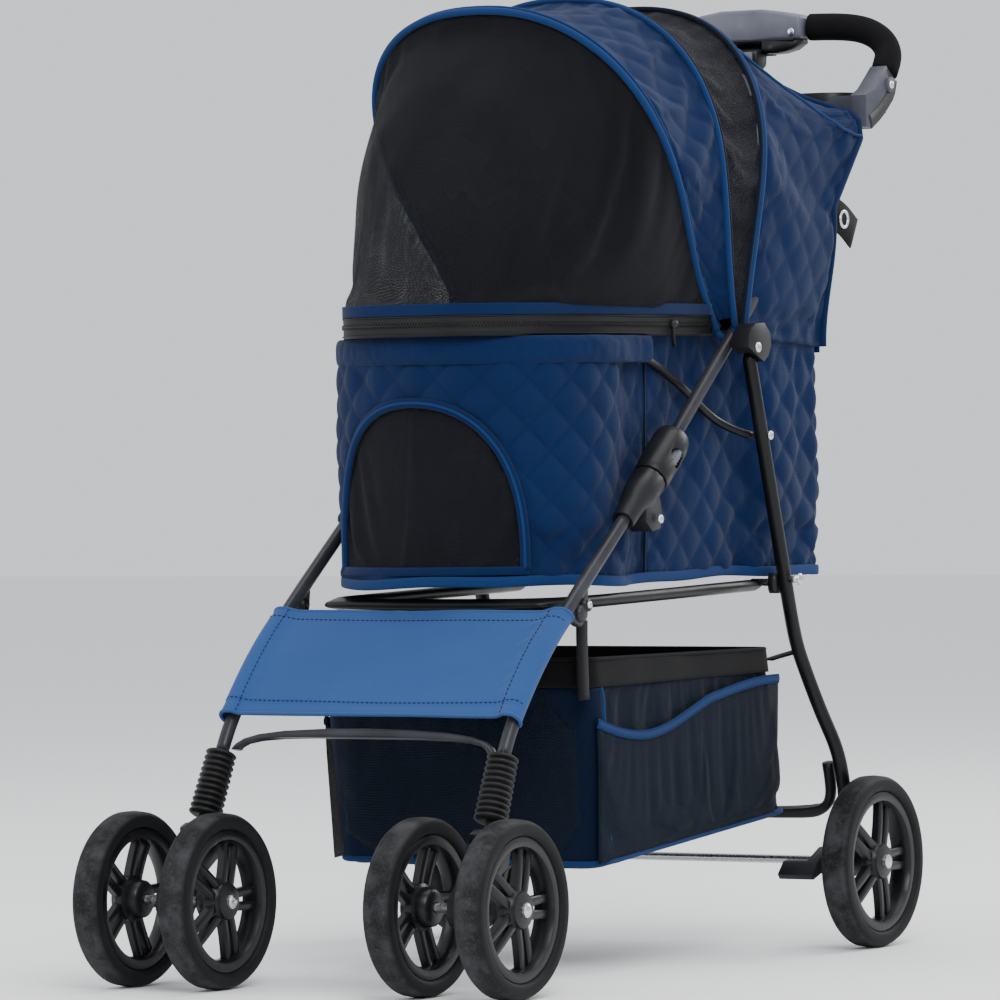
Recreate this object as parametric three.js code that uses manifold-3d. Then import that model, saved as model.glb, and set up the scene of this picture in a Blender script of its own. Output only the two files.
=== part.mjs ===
// A folding pet stroller: twin front casters, zip-up cabin, hooped canopy, storage basket.
// Millimetres, +X to the right, +Y to the rear, +Z up. The front faces -Y and the wheels stand on Z = 0.
// Side-view places below are measured rearward from the front caster axle, and the finished group is
// then moved so that the origin is at the centre of the footprint.
import * as THREE from 'three';
import { mergeVertices } from 'three/addons/utils/BufferGeometryUtils.js';
import Module from 'manifold-3d';

const wasm = await Module();
wasm.setup();

// ---- Driving dimensions -------------------------------------------------------------------------
const FRONT_WHEEL_R = 82.5;
const REAR_WHEEL_R = 85;
const WHEEL_W = 30;
const TYRE_DEPTH = 17;
const CASTER_X = 160;
const TWIN_HALF = 48.2;
const REAR_TRACK_HALF = 235.5;
const REAR_AXLE = [645, 85];

const SWIVEL_Y = 40;
const HINGE = [521, 604];
const LATCH_PIVOT = [349, 430];
const SEAT_PIVOT = [598, 362];
const FRAME_X = 155.6;
const TUBE_R = 7.3;
const LEG_X = 176;
const FOOT_X = 206;
const LEG_R = 7.6;
const HANDLE_END = [785, 828];
const LATCH_TOP = [352, 467];
const GAP = 0.5;

const SEAT_X = 136;
const RIM_X = 138.2;
const SEAT_Z = 356;
const FLOOR_Z = 372;
const RIM_Z = 594;
const CABIN_FRONT = 176;
const CABIN_REAR = 715;
const CABIN_TOP = 581;
const CABIN_HALF = 143;
const CABIN_WAIST = 132.4;
const LATCH_INNER_X = 143.8;
const WALL = 5;

const BASKET_HALF = 150;
const BASKET_FRONT = 262;
const BASKET_REAR = 640;
const BASKET_TOP = 300;
const GRIP_R = 14.6;
const CONSOLE_HALF = 70;
const TRAY_HALF = 132;
const TRAY_FRONT = 800;

const FRONT_EXTENT = -FRONT_WHEEL_R;
const REAR_EXTENT = 884;
const MID_Y = (FRONT_EXTENT + REAR_EXTENT) / 2;

// ---- Finishes -----------------------------------------------------------------------------------
const FINISHES = {
  blackPaint: [0x121314, 0.38, 0.3],
  gunmetal: [0x2b2f36, 0.35, 0.55],
  blackPlastic: [0x131416, 0.5, 0],
  greyPlastic: [0x2c2f33, 0.45, 0],
  tyre: [0x26282a, 0.85, 0],
  rim: [0x101113, 0.4, 0],
  rubber: [0x101010, 0.7, 0],
  foam: [0x141414, 0.95, 0],
  steel: [0xb9bcc0, 0.28, 1],
  navyFabric: [0x123060, 0.9, 0],
  meshFabric: [0x1a1c22, 0.95, 0],
  board: [0x22252a, 0.85, 0],
};

// ---- Helpers ------------------------------------------------------------------------------------
const V = (x, y, z) => new THREE.Vector3(x, y, z);
const model = new THREE.Group();
const content = new THREE.Group();
content.position.y = -MID_Y;
model.add(content);

function signedVolume(geometry) {
  const p = geometry.attributes.position;
  const index = geometry.index;
  const [a, b, c] = [V(0, 0, 0), V(0, 0, 0), V(0, 0, 0)];
  let sum = 0;
  for (let i = 0; i < index.count; i += 3) {
    a.fromBufferAttribute(p, index.getX(i));
    b.fromBufferAttribute(p, index.getX(i + 1));
    c.fromBufferAttribute(p, index.getX(i + 2));
    sum += a.dot(b.cross(c)) / 6;
  }
  return sum;
}

// Merges shared corners, so that the surface is one closed body, and turns its faces outward.
function closed(geometry) {
  const g = geometry.clone();
  for (const name of Object.keys(g.attributes)) {
    if (name !== 'position') g.deleteAttribute(name);
  }
  const merged = mergeVertices(g, 1e-3);
  if (signedVolume(merged) < 0) {
    const index = merged.index;
    for (let i = 0; i < index.count; i += 3) {
      const keep = index.getX(i);
      index.setX(i, index.getX(i + 1));
      index.setX(i + 1, keep);
    }
  }
  return merged;
}

function add(name, geometry, finish) {
  const [color, roughness, metalness] = FINISHES[finish];
  const material = new THREE.MeshStandardMaterial({ color, roughness, metalness });
  const mesh = new THREE.Mesh(closed(geometry), material);
  mesh.name = name;
  content.add(mesh);
  return mesh;
}

function toManifold(geometry) {
  const g = closed(geometry);
  const vertProperties = new Float32Array(g.attributes.position.array);
  const triVerts = new Uint32Array(g.index.array);
  return new wasm.Manifold(new wasm.Mesh({ numProp: 3, vertProperties, triVerts }));
}

function fromManifold(solid) {
  const mesh = solid.getMesh();
  const g = new THREE.BufferGeometry();
  g.setAttribute('position', new THREE.BufferAttribute(new Float32Array(mesh.vertProperties), 3));
  g.setIndex([...mesh.triVerts]);
  return g;
}

const join = (...parts) => fromManifold(parts.map(toManifold).reduce((a, b) => a.add(b)));
const cut = (body, ...tools) => fromManifold(
  tools.map(toManifold).reduce((a, b) => a.subtract(b), toManifold(body)));

// A line through the points, with each corner rounded to the radius given.
function roundedPath(points, radius) {
  const path = new THREE.CurvePath();
  let start = points[0];
  for (let i = 1; i < points.length - 1; i++) {
    const into = points[i].clone().sub(points[i - 1]);
    const out = points[i + 1].clone().sub(points[i]);
    const reach = Math.min(radius, into.length() * 0.49, out.length() * 0.49);
    const a = points[i].clone().addScaledVector(into.normalize(), -reach);
    const b = points[i].clone().addScaledVector(out.normalize(), reach);
    path.add(new THREE.LineCurve3(start, a));
    path.add(new THREE.QuadraticBezierCurve3(a, points[i], b));
    start = b;
  }
  path.add(new THREE.LineCurve3(start, points.at(-1)));
  return path;
}

function circle(radius, sides) {
  const shape = new THREE.Shape();
  for (let i = 0; i < sides; i++) {
    const a = (2 * Math.PI * i) / sides;
    const point = [radius * Math.cos(a), radius * Math.sin(a)];
    if (i === 0) shape.moveTo(...point);
    else shape.lineTo(...point);
  }
  shape.closePath();
  return shape;
}

function tube(points, radius, steps, bend = 30, sides = 8) {
  const extrudePath = roundedPath(points, bend);
  return new THREE.ExtrudeGeometry(circle(radius, sides), { steps, extrudePath });
}

const rod = (a, b, radius, sides = 10) =>
  new THREE.ExtrudeGeometry(circle(radius, sides), { steps: 1, extrudePath: new THREE.LineCurve3(a, b) });

// A turned part from [radius, height] pairs, standing along the line from a to b.
function turned(profile, a, b, segments = 12) {
  const points = profile.map(([r, h]) => new THREE.Vector2(r, h));
  const g = new THREE.LatheGeometry(points, segments);
  const direction = b.clone().sub(a).normalize();
  g.applyQuaternion(new THREE.Quaternion().setFromUnitVectors(V(0, 1, 0), direction));
  g.translate(a.x, a.y, a.z);
  return g;
}

// A flat outline of [y, z] points, made solid from x0 to x1.
function sidePlate(outline, x0, x1, hole) {
  const shape = new THREE.Shape(outline.map(([y, z]) => new THREE.Vector2(y, z)));
  if (hole) {
    const [y, z, r] = hole;
    const ring = circle(r, 12).getPoints(1).map((p) => new THREE.Vector2(p.x + y, p.y + z));
    shape.holes.push(new THREE.Path(ring));
  }
  const g = new THREE.ExtrudeGeometry(shape, { depth: x1 - x0, bevelEnabled: false });
  g.applyMatrix4(new THREE.Matrix4().makeBasis(V(0, 1, 0), V(0, 0, 1), V(1, 0, 0)));
  g.translate(x0, 0, 0);
  return g;
}

function box(x0, x1, y0, y1, z0, z1) {
  const g = new THREE.BoxGeometry(x1 - x0, y1 - y0, z1 - z0);
  g.translate((x0 + x1) / 2, (y0 + y1) / 2, (z0 + z1) / 2);
  return g;
}

function mirrored(geometry) {
  const g = closed(geometry);
  g.scale(-1, 1, 1);
  return closed(g);
}

// Adds a right-hand part and its left-hand mirror image.
function pair(name, geometry, finish) {
  add(`${name}_right`, geometry, finish);
  add(`${name}_left`, mirrored(geometry), finish);
}

// A closed sheet of even thickness. rows[i][j] is its outer face. The inner face is set in from it.
function sheet(rows, thickness) {
  const n = rows.length;
  const m = rows[0].length;
  const inner = rows.map((row, i) => row.map((p, j) => {
    const du = rows[Math.min(i + 1, n - 1)][j].clone().sub(rows[Math.max(i - 1, 0)][j]);
    const dv = row[Math.min(j + 1, m - 1)].clone().sub(row[Math.max(j - 1, 0)]);
    return p.clone().addScaledVector(du.cross(dv).normalize(), thickness);
  }));
  const positions = [];
  for (const row of [...rows, ...inner]) for (const p of row) positions.push(p.x, p.y, p.z);
  const at = (layer, i, j) => (layer * n + i) * m + j;
  const index = [];
  const quad = (a, b, c, d) => index.push(a, b, c, a, c, d);
  for (let i = 0; i < n - 1; i++) {
    for (let j = 0; j < m - 1; j++) {
      quad(at(0, i, j), at(0, i, j + 1), at(0, i + 1, j + 1), at(0, i + 1, j));
      quad(at(1, i, j), at(1, i + 1, j), at(1, i + 1, j + 1), at(1, i, j + 1));
    }
    quad(at(0, i, 0), at(0, i + 1, 0), at(1, i + 1, 0), at(1, i, 0));
    quad(at(0, i + 1, m - 1), at(0, i, m - 1), at(1, i, m - 1), at(1, i + 1, m - 1));
  }
  for (let j = 0; j < m - 1; j++) {
    quad(at(0, 0, j + 1), at(0, 0, j), at(1, 0, j), at(1, 0, j + 1));
    quad(at(0, n - 1, j), at(0, n - 1, j + 1), at(1, n - 1, j + 1), at(1, n - 1, j));
  }
  const g = new THREE.BufferGeometry();
  g.setAttribute('position', new THREE.BufferAttribute(new Float32Array(positions), 3));
  g.setIndex(index);
  return g;
}

// An open-topped tub. outlines[k] is the closed outer outline at each height, from the floor up.
function tub(outlines, thickness) {
  const count = outlines[0].length;
  const inset = (outline, up) => outline.map((p, i) => {
    const t = outline[(i + 1) % count].clone().sub(outline[(i + count - 1) % count]);
    const k = thickness / Math.hypot(t.x, t.y);
    return V(p.x - t.y * k, p.y + t.x * k, p.z + up);
  });
  const inner = outlines.map((outline, k) => inset(outline, k === 0 ? thickness : 0));
  const rings = [...outlines, ...inner.toReversed()];
  const positions = rings.flat().flatMap((p) => [p.x, p.y, p.z]);
  const index = [];
  for (let k = 0; k < rings.length - 1; k++) {
    for (let i = 0; i < count; i++) {
      const [a, b] = [k * count + i, k * count + (i + 1) % count];
      index.push(a, b, b + count, a, b + count, a + count);
    }
  }
  const last = (rings.length - 1) * count;
  for (const [ring, base, flip] of [[outlines[0], 0, true], [inner[0], last, false]]) {
    const flat = ring.map((p) => new THREE.Vector2(p.x, p.y));
    for (const face of THREE.ShapeUtils.triangulateShape(flat, [])) {
      const [a, b, c] = face.map((i) => base + i);
      index.push(...(flip ? [a, c, b] : [a, b, c]));
    }
  }
  const g = new THREE.BufferGeometry();
  g.setAttribute('position', new THREE.BufferAttribute(new Float32Array(positions), 3));
  g.setIndex(index);
  return g;
}

const smooth = (t) => {
  const c = Math.min(1, Math.max(0, t));
  return c * c * (3 - 2 * c);
};
const mix = (a, b, t) => a + (b - a) * t;

// ---- Wheels -------------------------------------------------------------------------------------
function tyreGeometry(radius, x, y, z) {
  const inner = radius - TYRE_DEPTH;
  const w = WHEEL_W / 2;
  const profile = [
    [inner, -w * 0.72], [radius - 8, -w], [radius - 2, -w * 0.66], [radius, 0],
    [radius - 2, w * 0.66], [radius - 8, w], [inner, w * 0.72], [inner, -w * 0.72],
  ];
  return turned(profile, V(x, y, z), V(x + 1, y, z), 26);
}

// A spoked rim: outer ring, hub and five pairs of spokes, cut as one disc.
function rimGeometry(radius, x, y, z, bore) {
  const outer = radius - TYRE_DEPTH - GAP;
  const ringIn = outer - 7;
  const hubR = 14;
  const disc = circle(outer, 26);
  disc.holes.push(new THREE.Path(circle(bore, 8).getPoints(1)));
  const sector = (from, to, rIn, rOut) => {
    const points = [0, 0.5, 1].map((t) => [rOut, mix(from, to, t)]);
    points.push([rIn, mix(from, to, 0.68)], [rIn, mix(from, to, 0.32)]);
    return new THREE.Path(points.map(([r, a]) => new THREE.Vector2(r * Math.cos(a), r * Math.sin(a))));
  };
  for (let i = 0; i < 5; i++) {
    const step = (2 * Math.PI) / 5;
    disc.holes.push(sector(i * step + 0.36, (i + 1) * step - 0.36, hubR + 6, ringIn));
    disc.holes.push(sector(i * step - 0.19, i * step + 0.19, hubR + 16, ringIn - 3));
  }
  const g = new THREE.ExtrudeGeometry(disc, { depth: 20, bevelEnabled: false });
  g.translate(0, 0, -10);
  g.rotateY(Math.PI / 2);
  g.translate(x, y, z);
  return g;
}

function wheel(name, radius, x, y, bore) {
  add(`${name}_tyre`, tyreGeometry(radius, x, y, radius), 'tyre');
  add(`${name}_rim`, rimGeometry(radius, x, y, radius, bore), 'rim');
}

const SIDES = [['right', 1], ['left', -1]];
for (const [side, s] of SIDES) {
  wheel(`front_wheel_${side}_outer`, FRONT_WHEEL_R, s * (CASTER_X + TWIN_HALF), 0, 5);
  wheel(`front_wheel_${side}_inner`, FRONT_WHEEL_R, s * (CASTER_X - TWIN_HALF), 0, 5);
  wheel(`rear_wheel_${side}`, REAR_WHEEL_R, s * REAR_TRACK_HALF, REAR_AXLE[0], 5);
}

// ---- Front casters ------------------------------------------------------------------------------
const STRUT_LOW = V(FRAME_X + 2, 47, 156);
const STRUT_HIGH = V(FRAME_X, 76, 217);
const strutDir = STRUT_HIGH.clone().sub(STRUT_LOW).normalize();
const alongStrut = (mm) => STRUT_LOW.clone().addScaledVector(strutDir, mm);

// Twin-wheel fork: a leaning blade from the swivel collar down to the axle boss.
const forkOutline = [
  [-14, 74], [-9, 67], [0, 64], [10, 66], [18, 78], [34, 106], [54, 118], [58, 132],
  [54, 139], [24, 139], [16, 126], [-2, 100], [-12, 92],
];
const forkBlade = sidePlate(forkOutline, CASTER_X - 13, CASTER_X + 13, [0, FRONT_WHEEL_R, 5]);
pair('caster_fork', forkBlade, 'blackPlastic');

// Axle bolt through the twin wheels, with a head at one end and a nut at the other.
const axleHalf = TWIN_HALF + 13;
const axleProfile = [
  [0, -axleHalf - 4], [7, -axleHalf - 4], [7, -axleHalf + 2], [4.4, -axleHalf + 2],
  [4.4, axleHalf - 2], [7, axleHalf - 2], [7, axleHalf + 4], [0, axleHalf + 4],
];
const casterAxle = turned(axleProfile, V(CASTER_X, 0, FRONT_WHEEL_R), V(CASTER_X + 1, 0, FRONT_WHEEL_R), 10);
pair('caster_axle', casterAxle, 'steel');

// Sprung strut: the rod slides in the boot and carries the swivel collar.
const collarRing = [[0, 0], [17, 0], [17, 9], [12, 13], [0, 13]];
const collar = turned(collarRing, V(CASTER_X, SWIVEL_Y, 139.6), V(CASTER_X, SWIVEL_Y, 140.6), 12);
const strutRod = rod(V(CASTER_X - 1, 42, 146), alongStrut(44), 5, 8);
pair('suspension_rod', join(collar, strutRod), 'blackPlastic');

// Ribbed rubber boot over the strut, open at both ends.
function bootGeometry() {
  const rings = 8;
  const length = 66;
  const pitch = length / rings;
  const profile = [[9, 0]];
  for (let i = 0; i < rings; i++) profile.push([11, i * pitch], [16 - i * 0.15, (i + 0.5) * pitch]);
  profile.push([11, length], [9, length], [9, 0]);
  return turned(profile, alongStrut(2), STRUT_HIGH, 12);
}
pair('boot', bootGeometry(), 'rubber');

// ---- Front frame --------------------------------------------------------------------------------
const legFoot = alongStrut(69);
const legPath = [
  legFoot, V(FRAME_X, 90, 243), V(FRAME_X, 150, 312), V(FRAME_X, 214, 364),
  V(FRAME_X, LATCH_TOP[0] - 26, LATCH_TOP[1] - 19.5),
];

// Cross tube that dips down at each end beside the legs.
const crossX = FRAME_X - TUBE_R - 6 - GAP;
const crossPath = [
  V(-crossX, 80, 219), V(-crossX, 85, 236), V(crossX, 85, 236), V(crossX, 80, 219),
];
add('front_cross_tube', tube(crossPath, 6, 12, 20), 'gunmetal');

// Footrest fabric stretched over the front legs.
function footrestRows() {
  const rows = [];
  for (let i = 0; i <= 6; i++) {
    const t = i / 6;
    const row = [];
    for (let j = 0; j <= 12; j++) {
      const u = j / 6 - 1;
      const sag = 4 * (1 - u * u) * Math.sin(Math.PI * t);
      const y = mix(93, 190, t);
      const z = 246 + 1.17 * (y - 93) - 0.0021 * (y - 93) ** 2 + 11 + 2 * Math.sin(Math.PI * t) - sag;
      row.push(V(167 * u, y - 9, z));
    }
    rows.push(row);
  }
  return rows;
}
add('footrest_panel', sheet(footrestRows().toReversed(), 1.6), 'navyFabric');

// Each front leg has a welded lug under it, which carries the front of the seat.
const lugOutline = [[194, 350], [200, 336], [214, 331], [226, 340], [228, 366], [212, 362]];
const seatLug = join(
  sidePlate(lugOutline, FRAME_X - 4, FRAME_X + 4),
  turned([[0, 0], [9, 0], [9, 4], [6, 7], [0, 7]], V(FRAME_X + 3, 212, 344), V(FRAME_X + 4, 212, 344), 10),
);
pair('front_leg', join(tube(legPath, TUBE_R, 14, 26), seatLug), 'gunmetal');

// ---- Latches: a collar on the front leg and a sliding sleeve on the handle tube --------------------
const handleDir = V(0, HANDLE_END[0] - LATCH_TOP[0], HANDLE_END[1] - LATCH_TOP[1]).normalize();
const legDir = V(0, LATCH_TOP[0] - 214, LATCH_TOP[1] - 364).normalize();
const latchTop = V(FRAME_X, ...LATCH_TOP);
const onHandle = (mm) => latchTop.clone().addScaledVector(handleDir, mm);
const onLeg = (mm) => latchTop.clone().addScaledVector(legDir, -mm);

const collarEnd = onLeg(GAP);
const earOutline = [[-24, -2], [-12, -12], [4, -9], [7, 6], [1, 30], [-22, 20]];
const bossEar = sidePlate(
  earOutline.map(([y, z]) => [LATCH_PIVOT[0] + y, LATCH_PIVOT[1] + z]), FRAME_X - 12, FRAME_X + 12,
);
const collarProfile = [[0, 0], [17.5, 0], [17, 24], [12.5, 40], [11, 62], [0, 62]];
const collarTaper = turned(collarProfile, collarEnd, onLeg(GAP + 1), 14);
const legSleeve = rod(onLeg(20), onLeg(140), TUBE_R + 0.4, 16);
const innerSide = box(LATCH_INNER_X - 40, LATCH_INNER_X, 240, 480, 380, 600);
const latchCollar = cut(join(collarTaper, bossEar), legSleeve, innerSide);
pair('latch_collar', latchCollar, 'blackPlastic');

const sleeveProfile = [[0, 0], [18, 0], [19, 8], [19, 50], [17, 60], [0, 60]];
const sleeveOuter = turned(sleeveProfile, onHandle(2), onHandle(3), 16);
const sleeveBore = rod(onHandle(-6), onHandle(100), TUBE_R + 0.8, 16);
const windowAt = (mm, x) => onHandle(mm).add(V(x, 0, 0));
const sleeveWindow = rod(windowAt(32, 12.5), windowAt(32, 30), 10, 12);
pair('latch_sleeve', cut(sleeveOuter, sleeveBore, sleeveWindow, innerSide), 'blackPlastic');

// ---- Handle frame -------------------------------------------------------------------------------
const handleEnd = V(FRAME_X, ...HANDLE_END);
pair('handle_tube', tube([onHandle(3), handleEnd], TUBE_R, 1), 'gunmetal');

const smoothTube = (points, radius, sides, steps) => new THREE.ExtrudeGeometry(
  circle(radius, sides), { steps, extrudePath: new THREE.CatmullRomCurve3(points) });

// Plastic arm over each tube end: a broad blade up to the foam grip, and a wing that holds the tray.
const ARM_X = [156, 174];
const bladeOutline = [
  [771, 818], [783, 816], [806, 829], [830, 847], [836, 858], [838.6, 865.5], [815.4, 881], [801, 869],
  [786, 857], [771, 850],
];
const wing = box(TRAY_HALF + GAP, 160, 772, 840, 834, 850);
const wingTip = box(112, 160, 772, TRAY_FRONT - GAP, 830, 845);
const armBoss = turned([[0, 0], [8, 0], [8, 3], [0, 3]], V(173.5, 821, 862), V(174.5, 821, 862), 12);
const socket = rod(onHandle(400), handleEnd.clone().addScaledVector(handleDir, GAP), TUBE_R + GAP, 16);
const arm = cut(join(sidePlate(bladeOutline, ...ARM_X), wing, wingTip, armBoss), socket);
pair('handle_arm', arm, 'greyPlastic');

// Foam grip from each arm round the corner to the console.
const gripPoints = [
  V(165, 827.6, 874.4), V(165, 834, 884), V(161.5, 845, 896.5), V(150, 850, 911), V(131, 849, 921),
  V(105, 846, 925), V(CONSOLE_HALF + 2, 843, 926),
];
pair('grip', smoothTube(gripPoints, GRIP_R, 12, 11), 'foam');

// Centre console on the handle bar, with the fold lever under it.
const consoleHalf = [
  [24, 946], [47, 942.5], [62, 939], [CONSOLE_HALF, 938], [CONSOLE_HALF, 914], [40, 914], [18, 912.5],
];
const consoleOutline = [...consoleHalf, ...consoleHalf.toReversed().map(([x, z]) => [-x, z])];
const consoleShape = new THREE.Shape(consoleOutline.map(([x, z]) => new THREE.Vector2(x, z)));
const consoleBody = new THREE.ExtrudeGeometry(consoleShape, { depth: 36, bevelEnabled: false });
consoleBody.rotateX(Math.PI / 2);
consoleBody.translate(0, 860, 0);
add('console', consoleBody, 'greyPlastic');
const leverShape = [[816, 884], [828, 882], [838, 888], [840, 903], [822, 905], [815, 901]];
add('fold_lever', sidePlate(leverShape, -24, 24), 'blackPlastic');

// Cup tray between the arms, with two wells.
function trayGeometry() {
  const outline = (half, y0, y1, r) => {
    const shape = new THREE.Shape();
    shape.moveTo(-half + r, y0);
    shape.lineTo(half - r, y0);
    shape.quadraticCurveTo(half, y0, half, y0 + r);
    shape.lineTo(half, y1 - r);
    shape.quadraticCurveTo(half, y1, half - r, y1);
    shape.lineTo(-half + r, y1);
    shape.quadraticCurveTo(-half, y1, -half, y1 - r);
    shape.lineTo(-half, y0 + r);
    shape.quadraticCurveTo(-half, y0, -half + r, y0);
    return shape;
  };
  const extrude = (shape, z0, z1) => {
    const g = new THREE.ExtrudeGeometry(shape, { depth: z1 - z0, bevelEnabled: false, curveSegments: 4 });
    g.translate(0, 0, z0);
    return g;
  };
  const tray = extrude(outline(TRAY_HALF, TRAY_FRONT, REAR_EXTENT, 40), 828, 856);
  const well = (x) => turned([[0, 0], [30, 0], [34, 40], [0, 40]], V(x, 842, 832), V(x, 842, 833), 16);
  const dish = extrude(outline(34, 812, 872, 10), 838, 870);
  return cut(tray, well(-90), well(90), dish);
}
add('cup_tray', trayGeometry(), 'blackPlastic');

// ---- Rear frame ---------------------------------------------------------------------------------
const rearLegPath = [
  V(LEG_X, 515, 588), V(LEG_X, 590, 339), V(LEG_X, 599, 305), V(190, 626, 232),
  V(FOOT_X, 632, 196), V(FOOT_X, 645, 150), V(FOOT_X, 645, 112),
];
pair('rear_leg', tube(rearLegPath, LEG_R, 22, 26), 'blackPaint');

const rearCrossX = FOOT_X - LEG_R - 7 - 0.8;
const rearCrossPath = [
  V(-rearCrossX, 637, 183), V(-rearCrossX, 653, 131), V(rearCrossX, 653, 131), V(rearCrossX, 637, 183),
];
add('rear_cross_tube', tube(rearCrossPath, 6.5, 22, 34), 'blackPaint');

// Axle with a domed nut at each end, and the blocks that hold it on the legs.
const endX = REAR_TRACK_HALF + 13;
const rearAxleProfile = [
  [0, -endX - 5], [7, -endX - 5], [7, -endX + 2], [4.2, -endX + 2],
  [4.2, endX - 2], [7, endX - 2], [7, endX + 5], [0, endX + 5],
];
add('rear_axle', turned(rearAxleProfile, V(0, ...REAR_AXLE), V(1, ...REAR_AXLE), 10), 'steel');
const blockOutline = [
  [631, 80], [638, 70], [652, 70], [659, 80], [659, 104], [652, 111], [638, 111], [631, 104],
];
const axleBlock = sidePlate(blockOutline, 197, 217, [...REAR_AXLE, 5]);
pair('axle_block', axleBlock, 'blackPlastic');

// Brake pedal: a ring on the axle with a paddle in front of it.
const pedalOutline = [
  [660, 85], [655, 96], [645, 100], [628, 99], [602, 86], [590, 74], [594, 69], [612, 75], [636, 72], [655, 74],
];
const pedal = join(
  sidePlate(pedalOutline, 184, 196.4, [...REAR_AXLE, 5]),
  sidePlate([[590, 74], [594, 69], [616, 77], [613, 88], [602, 86]], 158, 185),
);
pair('brake_pedal', pedal, 'blackPlastic');

// Main hinge: a bracket over the head of each rear leg.
const bracketHead = [
  [494, 594], [497, 608], [508, 617], [527, 618], [538, 608], [540, 596], [534, 586], [525, 580],
];
const hingeBracket = cut(
  sidePlate(bracketHead, LEG_X - 11, LEG_X + 12),
  rod(V(LEG_X, 521, 568), V(LEG_X, 513.2, 594), LEG_R + 1, 14),
  box(LEG_X - 12, LEG_X - 7.4, 490, 550, 570, 630),
);
pair('hinge_bracket', hingeBracket, 'blackPlastic');

function cabinHalf(y) {
  const waist = mix(CABIN_HALF, CABIN_WAIST, smooth((y - 312) / 50));
  return mix(waist, 150, smooth((y - 552) / 60));
}

// Rim tube: round the cabin mouth inside its padded sleeve, then down to a pivot on each rear leg.
function rimTubePath() {
  const side = [
    V(162.8, 543, 508), V(158, 534, 510), V(147, 519, 517), V(RIM_X + 1.5, 502, 527), V(RIM_X, 476, 542),
    V(RIM_X, 440, 560), V(RIM_X, 382, 583), V(RIM_X, 352, 588),
  ];
  const nose = 330;
  const front = [];
  for (let i = 1; i <= 5; i++) {
    const a = (Math.PI / 2) * (i / 6);
    front.push(V(RIM_X * Math.cos(a), nose - (nose - CABIN_FRONT - 6) * Math.sin(a), RIM_Z - 6));
  }
  const half = [...side, V(RIM_X, nose, RIM_Z - 6), ...front];
  const middle = V(0, CABIN_FRONT + 6, RIM_Z - 6);
  const other = half.toReversed().map((p) => V(-p.x, p.y, p.z));
  return new THREE.CatmullRomCurve3([...half, middle, ...other]);
}
const rimTube = new THREE.ExtrudeGeometry(circle(4.5, 8), { steps: 46, extrudePath: rimTubePath() });
add('rim_tube', rimTube, 'blackPaint');

// ---- Seat frame ---------------------------------------------------------------------------------
const seatPath = [
  V(SEAT_X, 598, 360), V(SEAT_X, 208, SEAT_Z - 4), V(-SEAT_X, 208, SEAT_Z - 4), V(-SEAT_X, 598, 360),
];
add('seat_frame_tube', tube(seatPath, 6.5, 26, 26), 'blackPaint');

// ---- Cabin --------------------------------------------------------------------------------------
// Plan outline: a half ellipse in front, nearly straight sides and a rounded rear.
function cabinOutline(z, grow) {
  const half = [];
  const nose = 312;
  for (let i = 0; i <= 8; i++) {
    const a = (Math.PI / 2) * (i / 8);
    const front = CABIN_FRONT - 8 * (1 - (z - FLOOR_Z) / (RIM_Z - FLOOR_Z)) - grow;
    half.push([(cabinHalf(nose) + grow) * Math.sin(a), nose - (nose - front) * Math.cos(a)]);
  }
  for (const y of [338, 364, 460, 552, 582, 612, 680]) half.push([cabinHalf(y) + grow, y]);
  for (let i = 1; i <= 3; i++) {
    const a = (Math.PI / 2) * (i / 3);
    half.push([130 + (20 + grow) * Math.cos(a), CABIN_REAR - 20 + (20 + grow) * Math.sin(a)]);
  }
  const right = half.map(([x, y]) => V(x, y, z));
  const left = half.slice(1).toReversed().map(([x, y]) => V(-x, y, z));
  return [...right, ...left];
}
const cabinLevels = [[FLOOR_Z, -2], [FLOOR_Z + 60, 0], [CABIN_TOP, 0]];
add('cabin_tub', tub(cabinLevels.map(([z, grow]) => cabinOutline(z, grow)), WALL), 'navyFabric');

// Stiff board on the cabin floor, carried by the seat frame.
const boardOutline = cabinOutline(FLOOR_Z, -WALL - 6).filter((p) => p.y < 660);
const boardShape = new THREE.Shape(boardOutline.map((p) => new THREE.Vector2(p.x, p.y)));
const board = new THREE.ExtrudeGeometry(boardShape, { depth: 4, bevelEnabled: false });
add('floor_board', board.translate(0, 0, FLOOR_Z + WALL + 1), 'board');

// ---- Canopy -------------------------------------------------------------------------------------
// Each arch stands in a plane through the main hinge, tilted forward by `tilt` degrees.
const ARCHES = {
  front: { tilt: 35, height: 386, half: 158, shoulder: 207, foot: 142, tubeFoot: 135.5 },
  mid: { tilt: 10, height: 338, half: 163, shoulder: 165, foot: 160, tubeFoot: 128.4 },
  rear: { tilt: -14, height: 340, half: 167.4, shoulder: 150, foot: 166.8, tubeFoot: 121.3 },
};
const ROUNDNESS = 2.3;
const FABRIC_LOW = 20;
const SEAM_HALF = 0.8;

// u runs from 0 at the right foot over the top to 1 at the left foot.
function archPoint(arch, u, inset, foot, low, aside = 0) {
  const s = 1 - 2 * u;
  const side = Math.sign(s) || 1;
  const t = Math.abs(s);
  const crownShare = 0.68;
  let x;
  let h;
  if (t <= crownShare) {
    const a = (Math.PI / 2) * (t / crownShare);
    x = (arch.half - inset) * Math.sin(a) ** (2 / ROUNDNESS);
    h = arch.shoulder + (arch.height - inset - arch.shoulder) * Math.cos(a) ** (2 / ROUNDNESS);
  } else {
    const k = (t - crownShare) / (1 - crownShare);
    h = mix(arch.shoulder, low, k);
    x = mix(arch.half - inset, foot, smooth(k * 1.25));
  }
  const tilt = THREE.MathUtils.degToRad(arch.tilt);
  const [c, n] = [Math.cos(tilt), Math.sin(tilt)];
  return V(side * x, HINGE[0] - h * n + aside * c, HINGE[1] + h * c + aside * n);
}

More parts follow.
